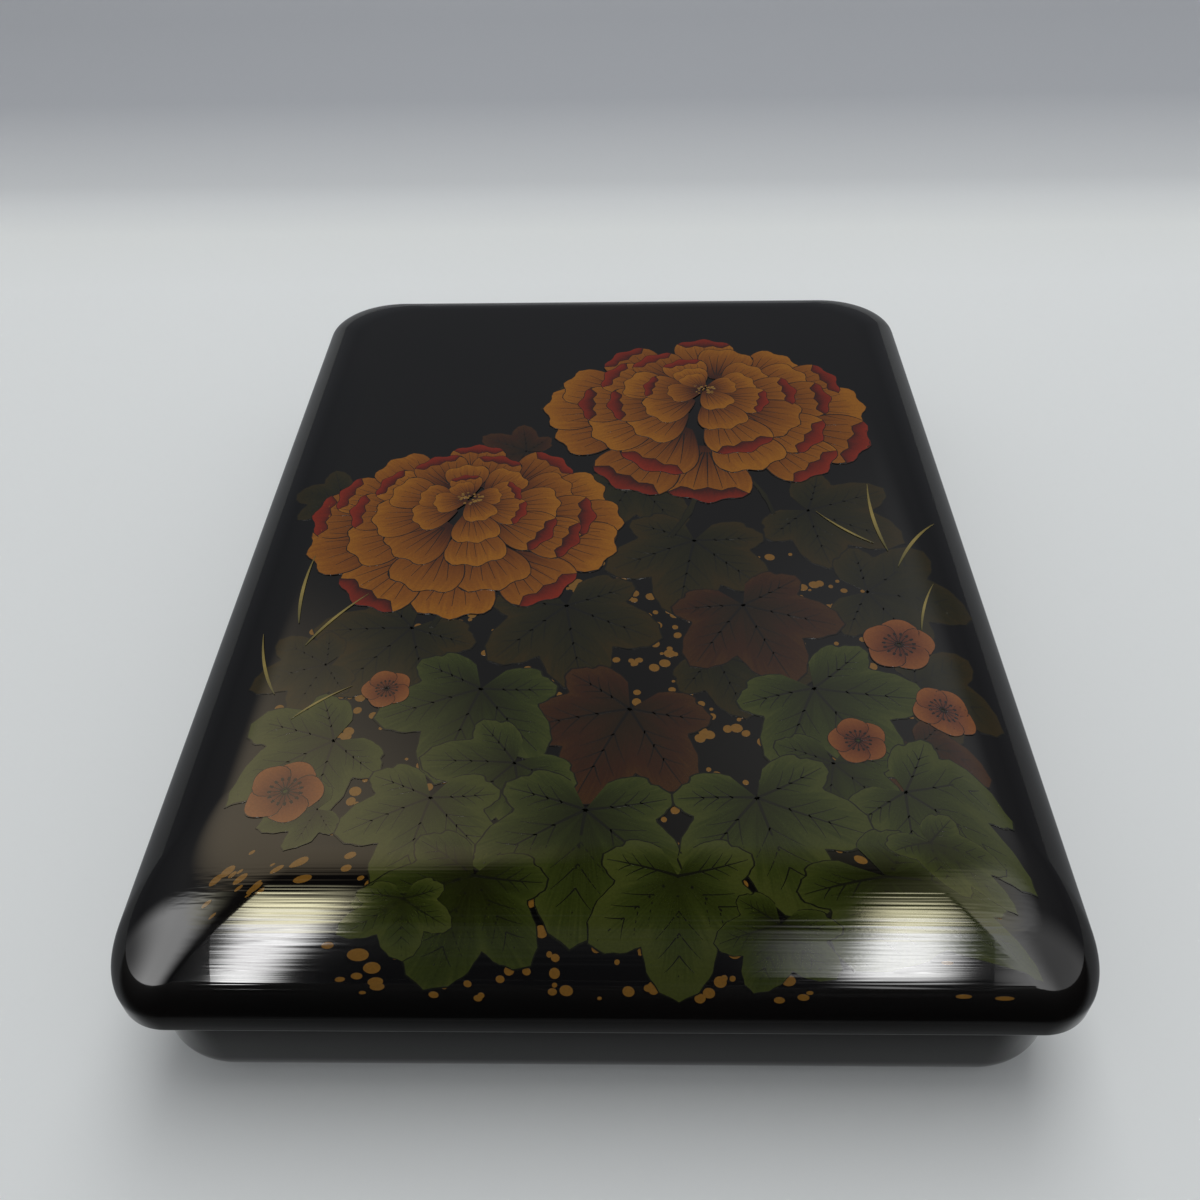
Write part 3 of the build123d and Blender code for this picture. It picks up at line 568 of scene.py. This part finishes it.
def true_gloss(piece):
    """Gives the lid's shoulder the true surface's normals, so that its long faces mirror without a twist."""
    mesh = piece.data
    normals, place = np.empty(len(mesh.loops) * 3), np.empty(len(mesh.vertices) * 3)
    mesh.corner_normals.foreach_get("vector", normals)
    mesh.vertices.foreach_get("co", place)
    normals, place = normals.reshape(-1, 3), place.reshape(-1, 3) / MM
    corners = np.array([loop.vertex_index for loop in mesh.loops])
    outer = np.repeat([face.normal.z > 0 and face.center.z > SHOULDER_BASE * MM for face in mesh.polygons],
                      [face.loop_total for face in mesh.polygons])
    turn = np.arcsin(np.clip((place[:, 2] - SHOULDER_BASE) / SHOULDER_HEIGHT, 0, 1))
    reach = SHOULDER_WIDTH * (1 - np.cos(turn)) + LID_CORNER + WIDENING * turn
    past = np.maximum(np.abs(place[:, :2]) - (LID_HALF - reach[:, None]), 0)
    heading = past / np.maximum(np.hypot(past[:, 0], past[:, 1]), 1e-9)[:, None]
    true = shoulder_normal(heading, np.sign(place[:, :2]), turn)
    true[place[:, 2] > LID_TOP - 1e-3] = (0, 0, 1)
    normals[outer] = true[corners[outer]]
    mesh.normals_split_custom_set(normals)


RINGS = level_ring_tree()

lid_profile = [(LID_WIDTH / 2, 0, LID_TOP), (70, 22, LID_TOP)]      # the second ring lies in the flat top
lid_profile += [(inset, corner, SHOULDER_BASE + rise) for inset, corner, rise in reversed(
    quarter_turn(SHOULDER_WIDTH, SHOULDER_HEIGHT, LID_CORNER, LID_TOP_CORNER, SHOULDER_LEVELS))]
lid_profile += rim(RIM_HEIGHT, 1, RIM_ROUND, LID_WALL, LID_CORNER, LID_RIM_LEVELS)
lid_profile += [(LID_WALL, LID_CORNER - LID_WALL, SEAT_TOP), (SEAT_INSET, SEAT_CORNER, SEAT_TOP)]
lid_profile += [(SEAT_INSET + inset, corner, SEAT_TOP + rise) for inset, corner, rise in
                quarter_turn(VAULT_WIDTH, CEILING - SEAT_TOP, SEAT_CORNER, LID_TOP_CORNER, VAULT_LEVELS)[1:]]
lid_profile.append((LID_WIDTH / 2, 0, CEILING))
lid_shell = shell_of("lid_shell", lid_profile, LID_WIDTH, LID_LENGTH, "lid", "lid")
true_gloss(lid_shell)

foot_inset, foot_corner = LOWER_ROUND_WIDTH + FOOT_RING, BOX_CORNER - FOOT_RING
box_profile = [(BOX_WIDTH / 2, 0, FOOT_RECESS), (foot_inset, foot_corner, FOOT_RECESS),
               (foot_inset, foot_corner, FOOT_EASE), (foot_inset - FOOT_EASE, foot_corner, 0)]
box_profile += [(inset, corner, LOWER_ROUND_HEIGHT - rise) for inset, corner, rise in reversed(
    quarter_turn(LOWER_ROUND_WIDTH, LOWER_ROUND_HEIGHT, BOX_CORNER, BOX_CORNER, LOWER_LEVELS))]
box_profile += rim(BOX_HEIGHT, -1, BOX_RIM_ROUND, BOX_WALL, BOX_CORNER, BOX_RIM_LEVELS)
box_profile += [(BOX_WALL, BOX_CORNER - BOX_WALL, BOX_FLOOR), (BOX_WIDTH / 2, 0, BOX_FLOOR)]
box_shell = shell_of("box_shell", box_profile, BOX_WIDTH, BOX_LENGTH, "box", "box_body")


# Painting on the lid: flat motifs, set out by a layout and laid on the lid's skin

shoulder_turns = np.linspace(pi / 2, 0, 400)
shoulder_steps = np.hypot(np.diff(SHOULDER_WIDTH * (1 - np.cos(shoulder_turns))),
                          np.diff(SHOULDER_HEIGHT * np.sin(shoulder_turns)))
shoulder_lengths = np.concatenate([[0], np.cumsum(shoulder_steps)])


def on_lid(flat):
    """Points and normals of the lid's skin, in mm, for drawing coordinates. Past the flat top the drawing
    goes down the shoulder length for length, so no motif is stretched."""
    core = LID_HALF - SHOULDER_WIDTH - LID_TOP_CORNER
    side, size = np.where(flat < 0, -1.0, 1.0), np.abs(flat)
    past = np.maximum(size - core, 0)
    reach = np.hypot(past[:, 0], past[:, 1])
    down = np.maximum(reach - LID_TOP_CORNER, 0)
    on_shoulder = (down > 0)[:, None]
    heading = past / np.maximum(reach, 1e-9)[:, None]
    turn = np.interp(down, shoulder_lengths, shoulder_turns)
    inset, rise = SHOULDER_WIDTH * (1 - np.cos(turn)), SHOULDER_HEIGHT * np.sin(turn)
    corner = LID_CORNER + WIDENING * turn
    centre = LID_HALF - (inset + corner)[:, None]
    fan_out = (centre - core) * np.minimum(size / core, 1) ** 6
    place = np.minimum(size, core) + fan_out + corner[:, None] * heading
    place = np.where(on_shoulder, place, size) * side
    normal = np.where(on_shoulder, shoulder_normal(heading, side, turn), (0.0, 0.0, 1.0))
    return np.column_stack([place, SHOULDER_BASE + rise]), normal


def motif(name, patches):
    """A motif as closed thin slabs. A patch is a grid of points with along, across and edge (mm to the
    outline), and a lift in mm over the motif's own height; a patch with edge 0 all over is a drawn line."""
    work = bmesh.new()
    marks = [work.verts.layers.float.new(key) for key in ("along", "across", "edge")]
    for grid, along, across, edge, lift in patches:
        rows, columns = grid.shape[:2]
        steps = grid[1:, :-1] - grid[:-1, :-1], grid[:-1, 1:] - grid[:-1, :-1]
        clockwise = (steps[0][..., 0] * steps[1][..., 1] - steps[0][..., 1] * steps[1][..., 0]).sum() > 0
        sheets = []
        for height in (lift, -PAINT_SINK - PAINT_BASE):
            sheet = {}
            for row, column in np.ndindex(rows, columns):
                point = work.verts.new((*grid[row, column], height))
                for mark, values in zip(marks, (along, across, edge)):
                    point[mark] = values[row, column]
                sheet[row, column] = point
            sheets.append(sheet)
        faces = []
        for row, column in np.ndindex(rows - 1, columns - 1):
            corners = [(row, column), (row + 1, column), (row + 1, column + 1), (row, column + 1)]
            faces += [[sheets[0][c] for c in corners], [sheets[1][c] for c in reversed(corners)]]
        around = [(r, 0) for r in range(rows)] + [(rows - 1, c) for c in range(1, columns)]
        around += [(r, columns - 1) for r in range(rows - 2, -1, -1)]
        around += [(0, c) for c in range(columns - 2, 0, -1)]
        faces += [[sheets[0][b], sheets[0][a], sheets[1][a], sheets[1][b]]
                  for a, b in zip(around, around[1:] + around[:1])]
        for face in faces:
            work.faces.new(face if clockwise else face[::-1])
        bmesh.ops.remove_doubles(work, verts=[v for sheet in sheets for v in sheet.values()], dist=1e-5)
    mesh = bpy.data.meshes.new(name)
    work.to_mesh(mesh)
    work.free()
    made = bpy.data.objects.new(name, mesh)
    bpy.context.scene.collection.objects.link(made)
    return made


def blade(length, half_width, tip, frill=0.0, rows=9, columns=9, base=0.0):
    """A petal that grows along +Y: half_width(s) for s from 0 at the foot to 1 at the tip; its rounded end
    falls back by tip at the sides and is frilled."""
    s, w = np.meshgrid(np.linspace(0, 1, rows), np.linspace(-1, 1, columns), indexing="ij")
    wide = np.vectorize(half_width)(s)
    x = w * wide
    y = base + length * s * (1 - tip * w ** 2 + frill * np.cos(w * 7.5) * s)
    edge = np.minimum((1 - np.abs(w)) * wide, length * (1 - s))
    return np.dstack([x, y]), s, w, edge, 0.0


def drawn_line(path, start, end, lift=0.006, steps=5):
    """A drawn line along path (2 or 3 points), from one width to another."""
    path = np.array(path, float)
    if len(path) == 2:
        path = np.array([path[0], (path[0] + path[1]) / 2, path[1]])
    t = np.linspace(0, 1, steps)[:, None]
    line = (1 - t) ** 2 * path[0] + 2 * t * (1 - t) * path[1] + t ** 2 * path[2]
    run = np.gradient(line, axis=0)
    side = np.column_stack([run[:, 1], -run[:, 0]]) / np.linalg.norm(run, axis=1)[:, None]
    wide = (start + (end - start) * t) / 2
    grid = np.stack([line - side * wide, line + side * wide], axis=1)
    none = np.zeros(grid.shape[:2])
    return grid, none + 0.5, none, none, lift


def peony_petal():
    """A broad petal, 20 mm long, notched and frilled at the end, with fine drawn veins."""
    body = blade(20, lambda s: 2.2 + 9.4 * sin(pi * min(1.0, 0.16 + 0.58 * s)) * s ** 0.55, tip=0.16,
                 frill=0.035, rows=10, columns=13)
    veins = [drawn_line([(w * 1.4, 2.5), (w * 5.5, 9), (w * 8.2, 16.0 - 3.2 * w * w)], 0.34, 0.1)
             for w in (-0.75, -0.38, 0.0, 0.38, 0.75)]
    return motif("peony_petal", [body] + veins)


def folded_lip():
    """The end of a petal folded over: a crescent whose inner side is frilled."""
    w, s = np.meshgrid(np.linspace(-1, 1, 13), np.linspace(0, 1, 5))
    outer = 20.4 - 3.4 * w ** 2 + 0.6 * np.cos(w * 7.5)
    depth = 4.6 * (1 - w ** 2) ** 0.6 * (1 + 0.25 * np.cos(w * 9))
    grid = np.dstack([w * 8.8, outer - depth * (1 - s)])
    edge = np.minimum(depth * s, depth * (1 - s))
    return motif("folded_lip", [(grid, s, w, edge, 0.004)])


def palm_leaf():
    """A leaf of five pointed, toothed lobes, 30 mm from heart to tip, with drawn midribs and side veins."""
    lobes = [(0, 30.0), (52, 26.5), (-52, 26.5), (104, 19.0), (-104, 19.0)]     # degrees from the tip, length
    spread, spokes, rows = 152, 97, 22      # the spread is in degrees to each side of the tip
    angle = np.radians(np.linspace(-spread, spread, spokes))
    reach = np.zeros_like(angle)
    for direction, length in lobes:
        away = np.abs(angle - radians(direction)) / radians(33)
        reach = np.maximum(reach, length * (0.52 + 0.48 * np.maximum(0, 1 - away ** 1.5)))
    reach *= 1 + 0.035 * np.abs(((np.degrees(angle) / 9.0) % 1) * 2 - 1)
    reach *= np.minimum(1, 0.55 + (radians(spread) - np.abs(angle)) / radians(50))
    share = np.linspace(0, 1, rows)[:, None]
    heading = np.stack([np.sin(angle), np.cos(angle)], axis=1)
    grid = (share * reach[None, :])[:, :, None] * heading[None, :, :]
    edge = (1 - share) * reach[None, :] * 0.55
    across = np.repeat(np.sin(angle * 3)[None, :], rows, axis=0)
    patches = [(grid, np.repeat(share, spokes, axis=1), across, edge, 0.0)]
    for direction, length in lobes:
        d = radians(direction)
        ahead, aside = np.array([sin(d), cos(d)]), np.array([cos(d), -sin(d)])
        midrib = [(0, 0), ahead * length * 0.5 + aside * 0.6, ahead * length * 0.93]
        patches.append(drawn_line(midrib, 0.75, 0.15, steps=7))
        for place, grown in ((0.28, 0.30), (0.45, 0.27), (0.62, 0.19)):
            for hand in (-1, 1):
                foot = ahead * length * place
                end = foot + (ahead * 0.72 + aside * hand * 0.62) * length * grown
                patches.append(drawn_line([foot, (foot + end) / 2 + ahead * 0.5, end], 0.34, 0.1))
    return motif("palm_leaf", patches)


def plum_blossom():
    """Five round petals, 9 mm from heart to edge, and a ring of drawn stamens, each ending in a dot."""
    patches = []
    for turn in range(5):
        grid, s, w, edge, _ = blade(8.0, lambda s: 0.7 + 4.3 * sin(pi * min(1, 0.08 + 0.80 * s)) ** 0.8,
                                    tip=0.12, rows=6, base=1.0)
        d = radians(72 * turn)
        x, y = grid[:, :, 0], grid[:, :, 1]
        spun = np.dstack([x * cos(d) + y * sin(d), y * cos(d) - x * sin(d)])
        patches.append((spun, s, w, edge, 0.002 * turn))
    for turn in range(15):
        d = radians(24 * turn + 6)
        ahead = np.array([sin(d), cos(d)])
        patches.append(drawn_line([ahead * 0.5, ahead * 3.4], 0.28, 0.18, 0.010 + 0.0004 * turn))
        patches.append(drawn_line([ahead * 3.2, ahead * 4.1], 0.8, 0.5, 0.016, steps=3))
    return motif("plum_blossom", patches)


def gold_dot():
    """A dot of gold powder, 1 mm in radius and not quite round."""
    u, v = np.meshgrid(np.linspace(-1, 1, 5), np.linspace(-1, 1, 5))
    grid = np.dstack([u * np.sqrt(1 - v * v / 2), v * np.sqrt(1 - u * u / 2) * 0.92])
    none = np.zeros(u.shape)
    return motif("gold_dot", [(grid, none + 0.8, none, none + 2, 0.0)])


def grass_blade():
    """One stroke of a loaded brush, 40 mm long, thin at both ends."""
    t = np.linspace(0, 1, 15)
    line = np.column_stack([7 * t ** 2, 40 * t])
    wide = (0.12 + 0.55 * np.sin(pi * t ** 0.8))[:, None]
    grid = np.stack([line - [1, 0] * wide, line + [1, 0] * wide], axis=1)
    none = np.zeros(grid.shape[:2])
    return motif("grass_blade", [(grid, none + t[:, None], none, none + 2, 0.0)])


def leaf_stem():
    """A stem, 40 mm long and 2 mm wide, that bends a little and swells at its two joints."""
    t = np.linspace(0, 1, 17)
    line = np.column_stack([3.5 * np.sin(pi * t), 40 * t])
    joints = sum(np.exp(-((t - joint) / 0.05) ** 2) for joint in (0.33, 0.7))
    wide = (0.95 + 0.45 * joints)[:, None]
    grid = np.stack([line - [1, 0] * wide, line, line + [1, 0] * wide], axis=1)
    across = np.zeros(grid.shape[:2]) + [-1.0, 0.0, 1.0]
    along = np.zeros(grid.shape[:2]) + t[:, None]
    return motif("leaf_stem", [(grid, along, across, (1 - np.abs(across)) * wide, 0.0)])


def set_out_tree():
    """Sets a motif on each point of a layout, by the point's turn and size."""
    tree, new, given = geometry_tree("motifs_set_out", {
        "Layout": "Geometry", "Motif": "Object", "Paint": "Material"})
    shape = new("GeometryNodeObjectInfo", {"Object": given["Motif"]}, "Geometry")
    turn, size = (new("GeometryNodeInputNamedAttribute", {"Name": key}, data_type="FLOAT")
                  for key in ("turn", "size"))
    placed = new("GeometryNodeInstanceOnPoints", {
        "Points": given["Layout"], "Instance": shape, "Rotation": new("ShaderNodeCombineXYZ", {"Z": turn}),
        "Scale": new("ShaderNodeCombineXYZ", (size, size, 1.0))})
    finish_geometry(new, placed, given["Paint"])
    return tree


def gold_dust_tree():
    """Scatters dots of gold over a drawn field, from fine to coarse, by a fixed seed. Their heights differ a
    little, so that dots that overlap don't lie in one plane."""
    tree, new, given = geometry_tree("gold_dust", {
        "Field": "Geometry", "Dot": "Object", "Dots per mm2": "Float", "Smallest": "Float",
        "Largest": "Float", "Seed": "Int", "Paint": "Material"})
    spots = new("GeometryNodeDistributePointsOnFaces", {
        "Mesh": given["Field"], "Density": given["Dots per mm2"], "Seed": given["Seed"]})
    heights = new("FunctionNodeRandomValue", {0: (0, 0, -0.02), 1: (0, 0, 0), "Seed": 5},
                  data_type="FLOAT_VECTOR")
    spots = new("GeometryNodeSetPosition", {"Geometry": spots, "Offset": heights})
    spans = ((given["Smallest"], given["Largest"]), (0.0, 6.283))      # of sizes, and of turns in radians
    size, turn = (new("FunctionNodeRandomValue", {2: low, 3: high, "Seed": given["Seed"]}, 1,
                      data_type="FLOAT") for low, high in spans)
    placed = new("GeometryNodeInstanceOnPoints", {
        "Points": spots, "Instance": new("GeometryNodeObjectInfo", {"Object": given["Dot"]}, "Geometry"),
        "Rotation": new("ShaderNodeCombineXYZ", {"Z": turn}),
        "Scale": new("ShaderNodeCombineXYZ", (size, size, 1.0))})
    finish_geometry(new, placed, given["Paint"])
    return tree


def lay_on_lid(piece):
    """Lays a flat painted piece on the lid and gives its upper side the skin's own normals, so that the gloss
    runs on unbroken over paint and lacquer."""
    mesh = piece.data
    flat = np.empty(len(mesh.vertices) * 3)
    mesh.vertices.foreach_get("co", flat)
    flat = flat.reshape(-1, 3)
    place, normal = on_lid(flat[:, :2])
    up = np.array([polygon.normal.z > 0.5 for polygon in mesh.polygons])
    corners, sides = np.empty(len(mesh.loops), dtype=int), np.empty(len(mesh.polygons), dtype=int)
    mesh.loops.foreach_get("vertex_index", corners)
    mesh.polygons.foreach_get("loop_total", sides)
    mesh.vertices.foreach_set("co", ((place + normal * flat[:, 2:]) * MM).reshape(-1))
    mesh.polygons.foreach_set("use_smooth", [True] * len(mesh.polygons))
    mesh.normals_split_custom_set(normal[corners] * np.repeat(up, sides)[:, None])
    mesh.update()
    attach(piece, "lid")


def paint(name, shape, layout, colour):
    """Paints one motif on the lid at each place of the layout: x, y, size, turn in degrees, tint, coat."""
    source = bpy.data.meshes.new(name + "_layout")
    source.from_pydata([(x, y, PAINT_BASE + LAYER * coat) for x, y, size, turn, tint, coat in layout], [], [])
    for key, values in (("size", [row[2] for row in layout]), ("turn", [-radians(row[3]) for row in layout]),
                        ("tint", [row[4] for row in layout])):
        source.attributes.new(key, "FLOAT", "POINT").data.foreach_set("value", values)
    lay_on_lid(grow(SET_OUT, source, {"Motif": shape, "Paint": colour}, name))


def in_coats(kinds, reach):
    """Gives every motif the lowest coat above all earlier ones it touches. Rows: x, y, size, turn, tint."""
    laid = []
    for rows in kinds:
        for number, (x, y, size, turn, tint) in enumerate(rows):
            under = [coat for ox, oy, osize, coat in laid if hypot(ox - x, oy - y) < (osize + size) * reach]
            coat = max(under, default=-1) + 1
            rows[number] = (x, y, size, turn, tint, coat)
            laid.append((x, y, size, coat))


SET_OUT, GOLD_DUST = set_out_tree(), gold_dust_tree()
PETAL, LIP, LEAF, PLUM, DOT, GRASS, STEM = (
    peony_petal(), folded_lip(), palm_leaf(), plum_blossom(), gold_dot(), grass_blade(), leaf_stem())

# Paints: name, colours from heart to tip, how much the brush streaks them, outline and its width in mm
PAINTS = (
    ("gold_orange_petal_paint", [(0.0, "#2c0d01"), (0.28, "#512603"), (0.55, "#6b3a05"), (0.8, "#794608"),
                                 (1.0, "#88540c")], 0.5, "#120805", 0.22),
    ("red_petal_paint", [(0.0, "#330801"), (0.5, "#5f1403"), (1.0, "#731c05")], 0.4, "#120604", 0.16),
    ("green_leaf_paint", [(0.0, "#181b05"), (0.4, "#222809"), (0.75, "#2c330f"), (1.0, "#383d16")],
     0.7, "#12130a", 0.2),
    ("olive_leaf_paint", [(0.0, "#100f02"), (0.45, "#191804"), (0.8, "#221d06"), (1.0, "#2a2005")],
     0.7, "#0c0c07", 0.2),
    ("russet_leaf_paint", [(0.0, "#171004"), (0.4, "#241405"), (0.75, "#2d1506"), (1.0, "#361e07")],
     0.7, "#0e0906", 0.2),
    ("orange_blossom_paint", [(0.0, "#411708"), (0.5, "#633315"), (1.0, "#77451d")], 0.4, "#150705", 0.16),
    ("gold_powder_paint", [(0.0, "#48320b"), (0.5, "#6a4818"), (1.0, "#86652a")], 0.5, "#5d4417", 0.02),
    ("old_gold_line_paint", [(0.0, "#4b4722"), (0.5, "#86763f"), (1.0, "#5c522a")], 0.3, "#2b2a18", 0.02))
GOLD_PETAL, RED_PETAL, GREEN_LEAF, OLIVE_LEAF, RUSSET_LEAF, PLUM_PAINT, GOLD_PAINT, GRASS_PAINT = (
    painted_lacquer(*colours) for colours in PAINTS)

# Leaves: x, y, size, turn, tint
LEAF_REACH = 24     # mm, of a leaf of size 1
olive_leaves = [
    (-6, 62, 0.75, 330, 0.45), (10, 18, 1.05, 150, 0.4), (70, 0, 1.15, 120, 0.55),
    (-94, 8, 0.65, 290, 0.4), (30, -16, 1.25, 190, 0.7), (-12, -48, 1.25, 170, 0.5),
    (-60, -58, 1.15, 215, 0.65), (84, -42, 1.15, 100, 0.35), (-84, -74, 0.75, 250, 0.5),
    (34, -70, 1.0, 110, 0.4), (92, -82, 0.85, 110, 0.6)]
russet_leaves = [
    (-30, 36, 0.65, 300, 0.5), (44, -48, 1.2, 160, 0.5), (8, -92, 1.25, 205, 0.6),
    (-72, -22, 0.6, 300, 0.4), (88, -106, 0.7, 150, 0.7)]
green_leaves = [
    (-36, -84, 1.2, 195, 0.25), (62, -84, 1.25, 150, 0.5), (-76, -104, 1.0, 235, 0.75),
    (-24, -112, 1.0, 220, 0.55), (64, -112, 0.9, 190, 0.2), (82, -122, 1.05, 130, 0.85),
    (-46, -124, 1.0, 190, 0.9), (-4, -128, 1.25, 185, 0.4), (42, -124, 1.2, 165, 0.65),
    (-76, -128, 0.5, 250, 0.3), (20, -148, 1.05, 180, 0.95),
    (66, -148, 0.95, 150, 0.35), (-32, -148, 1.0, 200, 0.15), (84, -138, 0.6, 150, 0.55),
    (-48, -154, 0.5, 175, 0.7), (44, -160, 0.6, 200, 0.3)]
in_coats((olive_leaves, russet_leaves, green_leaves), LEAF_REACH)
paint("stems", STEM, [(22, -14, 1.1, 14, 0.9, 7), (-54, -58, 1.1, 6, 0.8, 7.4), (58, -2, 0.8, -25, 0.7, 7.7)],
      OLIVE_LEAF)
paint("olive_leaves", LEAF, olive_leaves, OLIVE_LEAF)
paint("russet_leaves", LEAF, russet_leaves, RUSSET_LEAF)
paint("green_leaves", LEAF, green_leaves, GREEN_LEAF)

# Peonies: whorls of petals from the outside in, seen a little from the side, so the back petals are shorter
BLOOMS = ((38, 64, 65), (-48, -4, 56))      # x, y and reach
REACH_AT_SIZE_1, FORESHORTENED, DOTS_IN_HEART = 44, 0.78, 26

# Whorls: where it starts as a share of the reach, its petals, their size, and the share of them with a lip
WHORLS = ((0.50, 12, 1.0, 0.6), (0.35, 10, 0.92, 0.45), (0.21, 8, 0.8, 0.45), (0.10, 6, 0.62, 0.5),
          (0.02, 4, 0.44, 0.0))
PETALS_IN_BLOOM = sum(whorl[1] for whorl in WHORLS)
PETAL_COAT, PETAL_STEP, LIP_STEP, HEART_COAT = 8, 0.28, 0.14, 20
rough = np.random.default_rng(7)
petals, lips, hearts = [], [], []
for bloom, (centre_x, centre_y, reach) in enumerate(BLOOMS):
    for whorl, (start, count, size, with_lip) in enumerate(WHORLS):
        for number in range(count):
            turn = 360 / count * number + 17 * whorl + rough.uniform(-6, 6)
            d = radians(turn)
            near = 0.5 - 0.5 * cos(d)
            x = centre_x + reach * start * sin(d)
            y = centre_y + reach * (start * cos(d) * FORESHORTENED + 0.05 * whorl)
            grown = size * reach / REACH_AT_SIZE_1 * (0.82 + 0.30 * near) * rough.uniform(0.93, 1.07)
            lean = turn + 12 * sin(2 * d)
            coat = PETAL_COAT + 0.07 * bloom + PETAL_STEP * (len(petals) % PETALS_IN_BLOOM)
            petals.append((x, y, grown, lean, rough.uniform(0.25, 0.75), coat))
            if rough.random() < with_lip:
                lips.append((x, y, grown, lean, rough.uniform(0.2, 0.8), coat + LIP_STEP))
    for number in range(DOTS_IN_HEART):
        away, d = 5.0 * rough.random() ** 0.5, rough.uniform(0, 2 * pi)
        hearts.append((centre_x + away * cos(d), centre_y + reach * 0.2 + away * 0.7 * sin(d),
                       rough.uniform(0.35, 0.7), 0, rough.random(), HEART_COAT + 0.03 * number))
paint("peony_petals", PETAL, petals, GOLD_PETAL)
paint("peony_lips", LIP, lips, RED_PETAL)
paint("peony_hearts", DOT, hearts, GOLD_PAINT)

paint("plum_blossoms", PLUM, [
    (90, -66, 1.25, 10, 0.5, 12), (98, -92, 1.0, 40, 0.6, 12), (72, -104, 0.95, 60, 0.4, 12),
    (-86, -122, 1.2, 20, 0.5, 12), (-64, -84, 0.85, 50, 0.6, 12)], PLUM_PAINT)
paint("grass_blades", GRASS, [
    (-96, -56, 0.8, -12, 0.5, 16), (-92, -66, 0.7, 24, 0.5, 16.4), (-97, -86, 0.7, -30, 0.4, 16.8),
    (-90, -96, 0.5, 40, 0.6, 17.2), (94, -22, 0.9, -12, 0.4, 16), (96, -30, 0.8, 24, 0.5, 16.4),
    (90, -18, 0.6, -55, 0.6, 16.8), (98, -60, 0.6, 10, 0.5, 17.2)], GRASS_PAINT)

DUST_OUTLINE = ((-96, -60), (-92, -150), (-60, -180), (70, -180), (98, -140), (98, -50), (60, -20),
                (-20, -30))
DUST_HEIGHT = 0.045
dust_field = bpy.data.meshes.new("dust_field")
dust_field.from_pydata([(x, y, DUST_HEIGHT) for x, y in DUST_OUTLINE], [], [tuple(range(len(DUST_OUTLINE)))])
lay_on_lid(grow(GOLD_DUST, dust_field, {
    "Dot": DOT, "Dots per mm2": 0.03, "Smallest": 0.5, "Largest": 1.8, "Seed": 11, "Paint": GOLD_PAINT},
    "gold_dust"))

for shape in (PETAL, LIP, LEAF, PLUM, DOT, GRASS, STEM):
    bpy.data.objects.remove(shape)
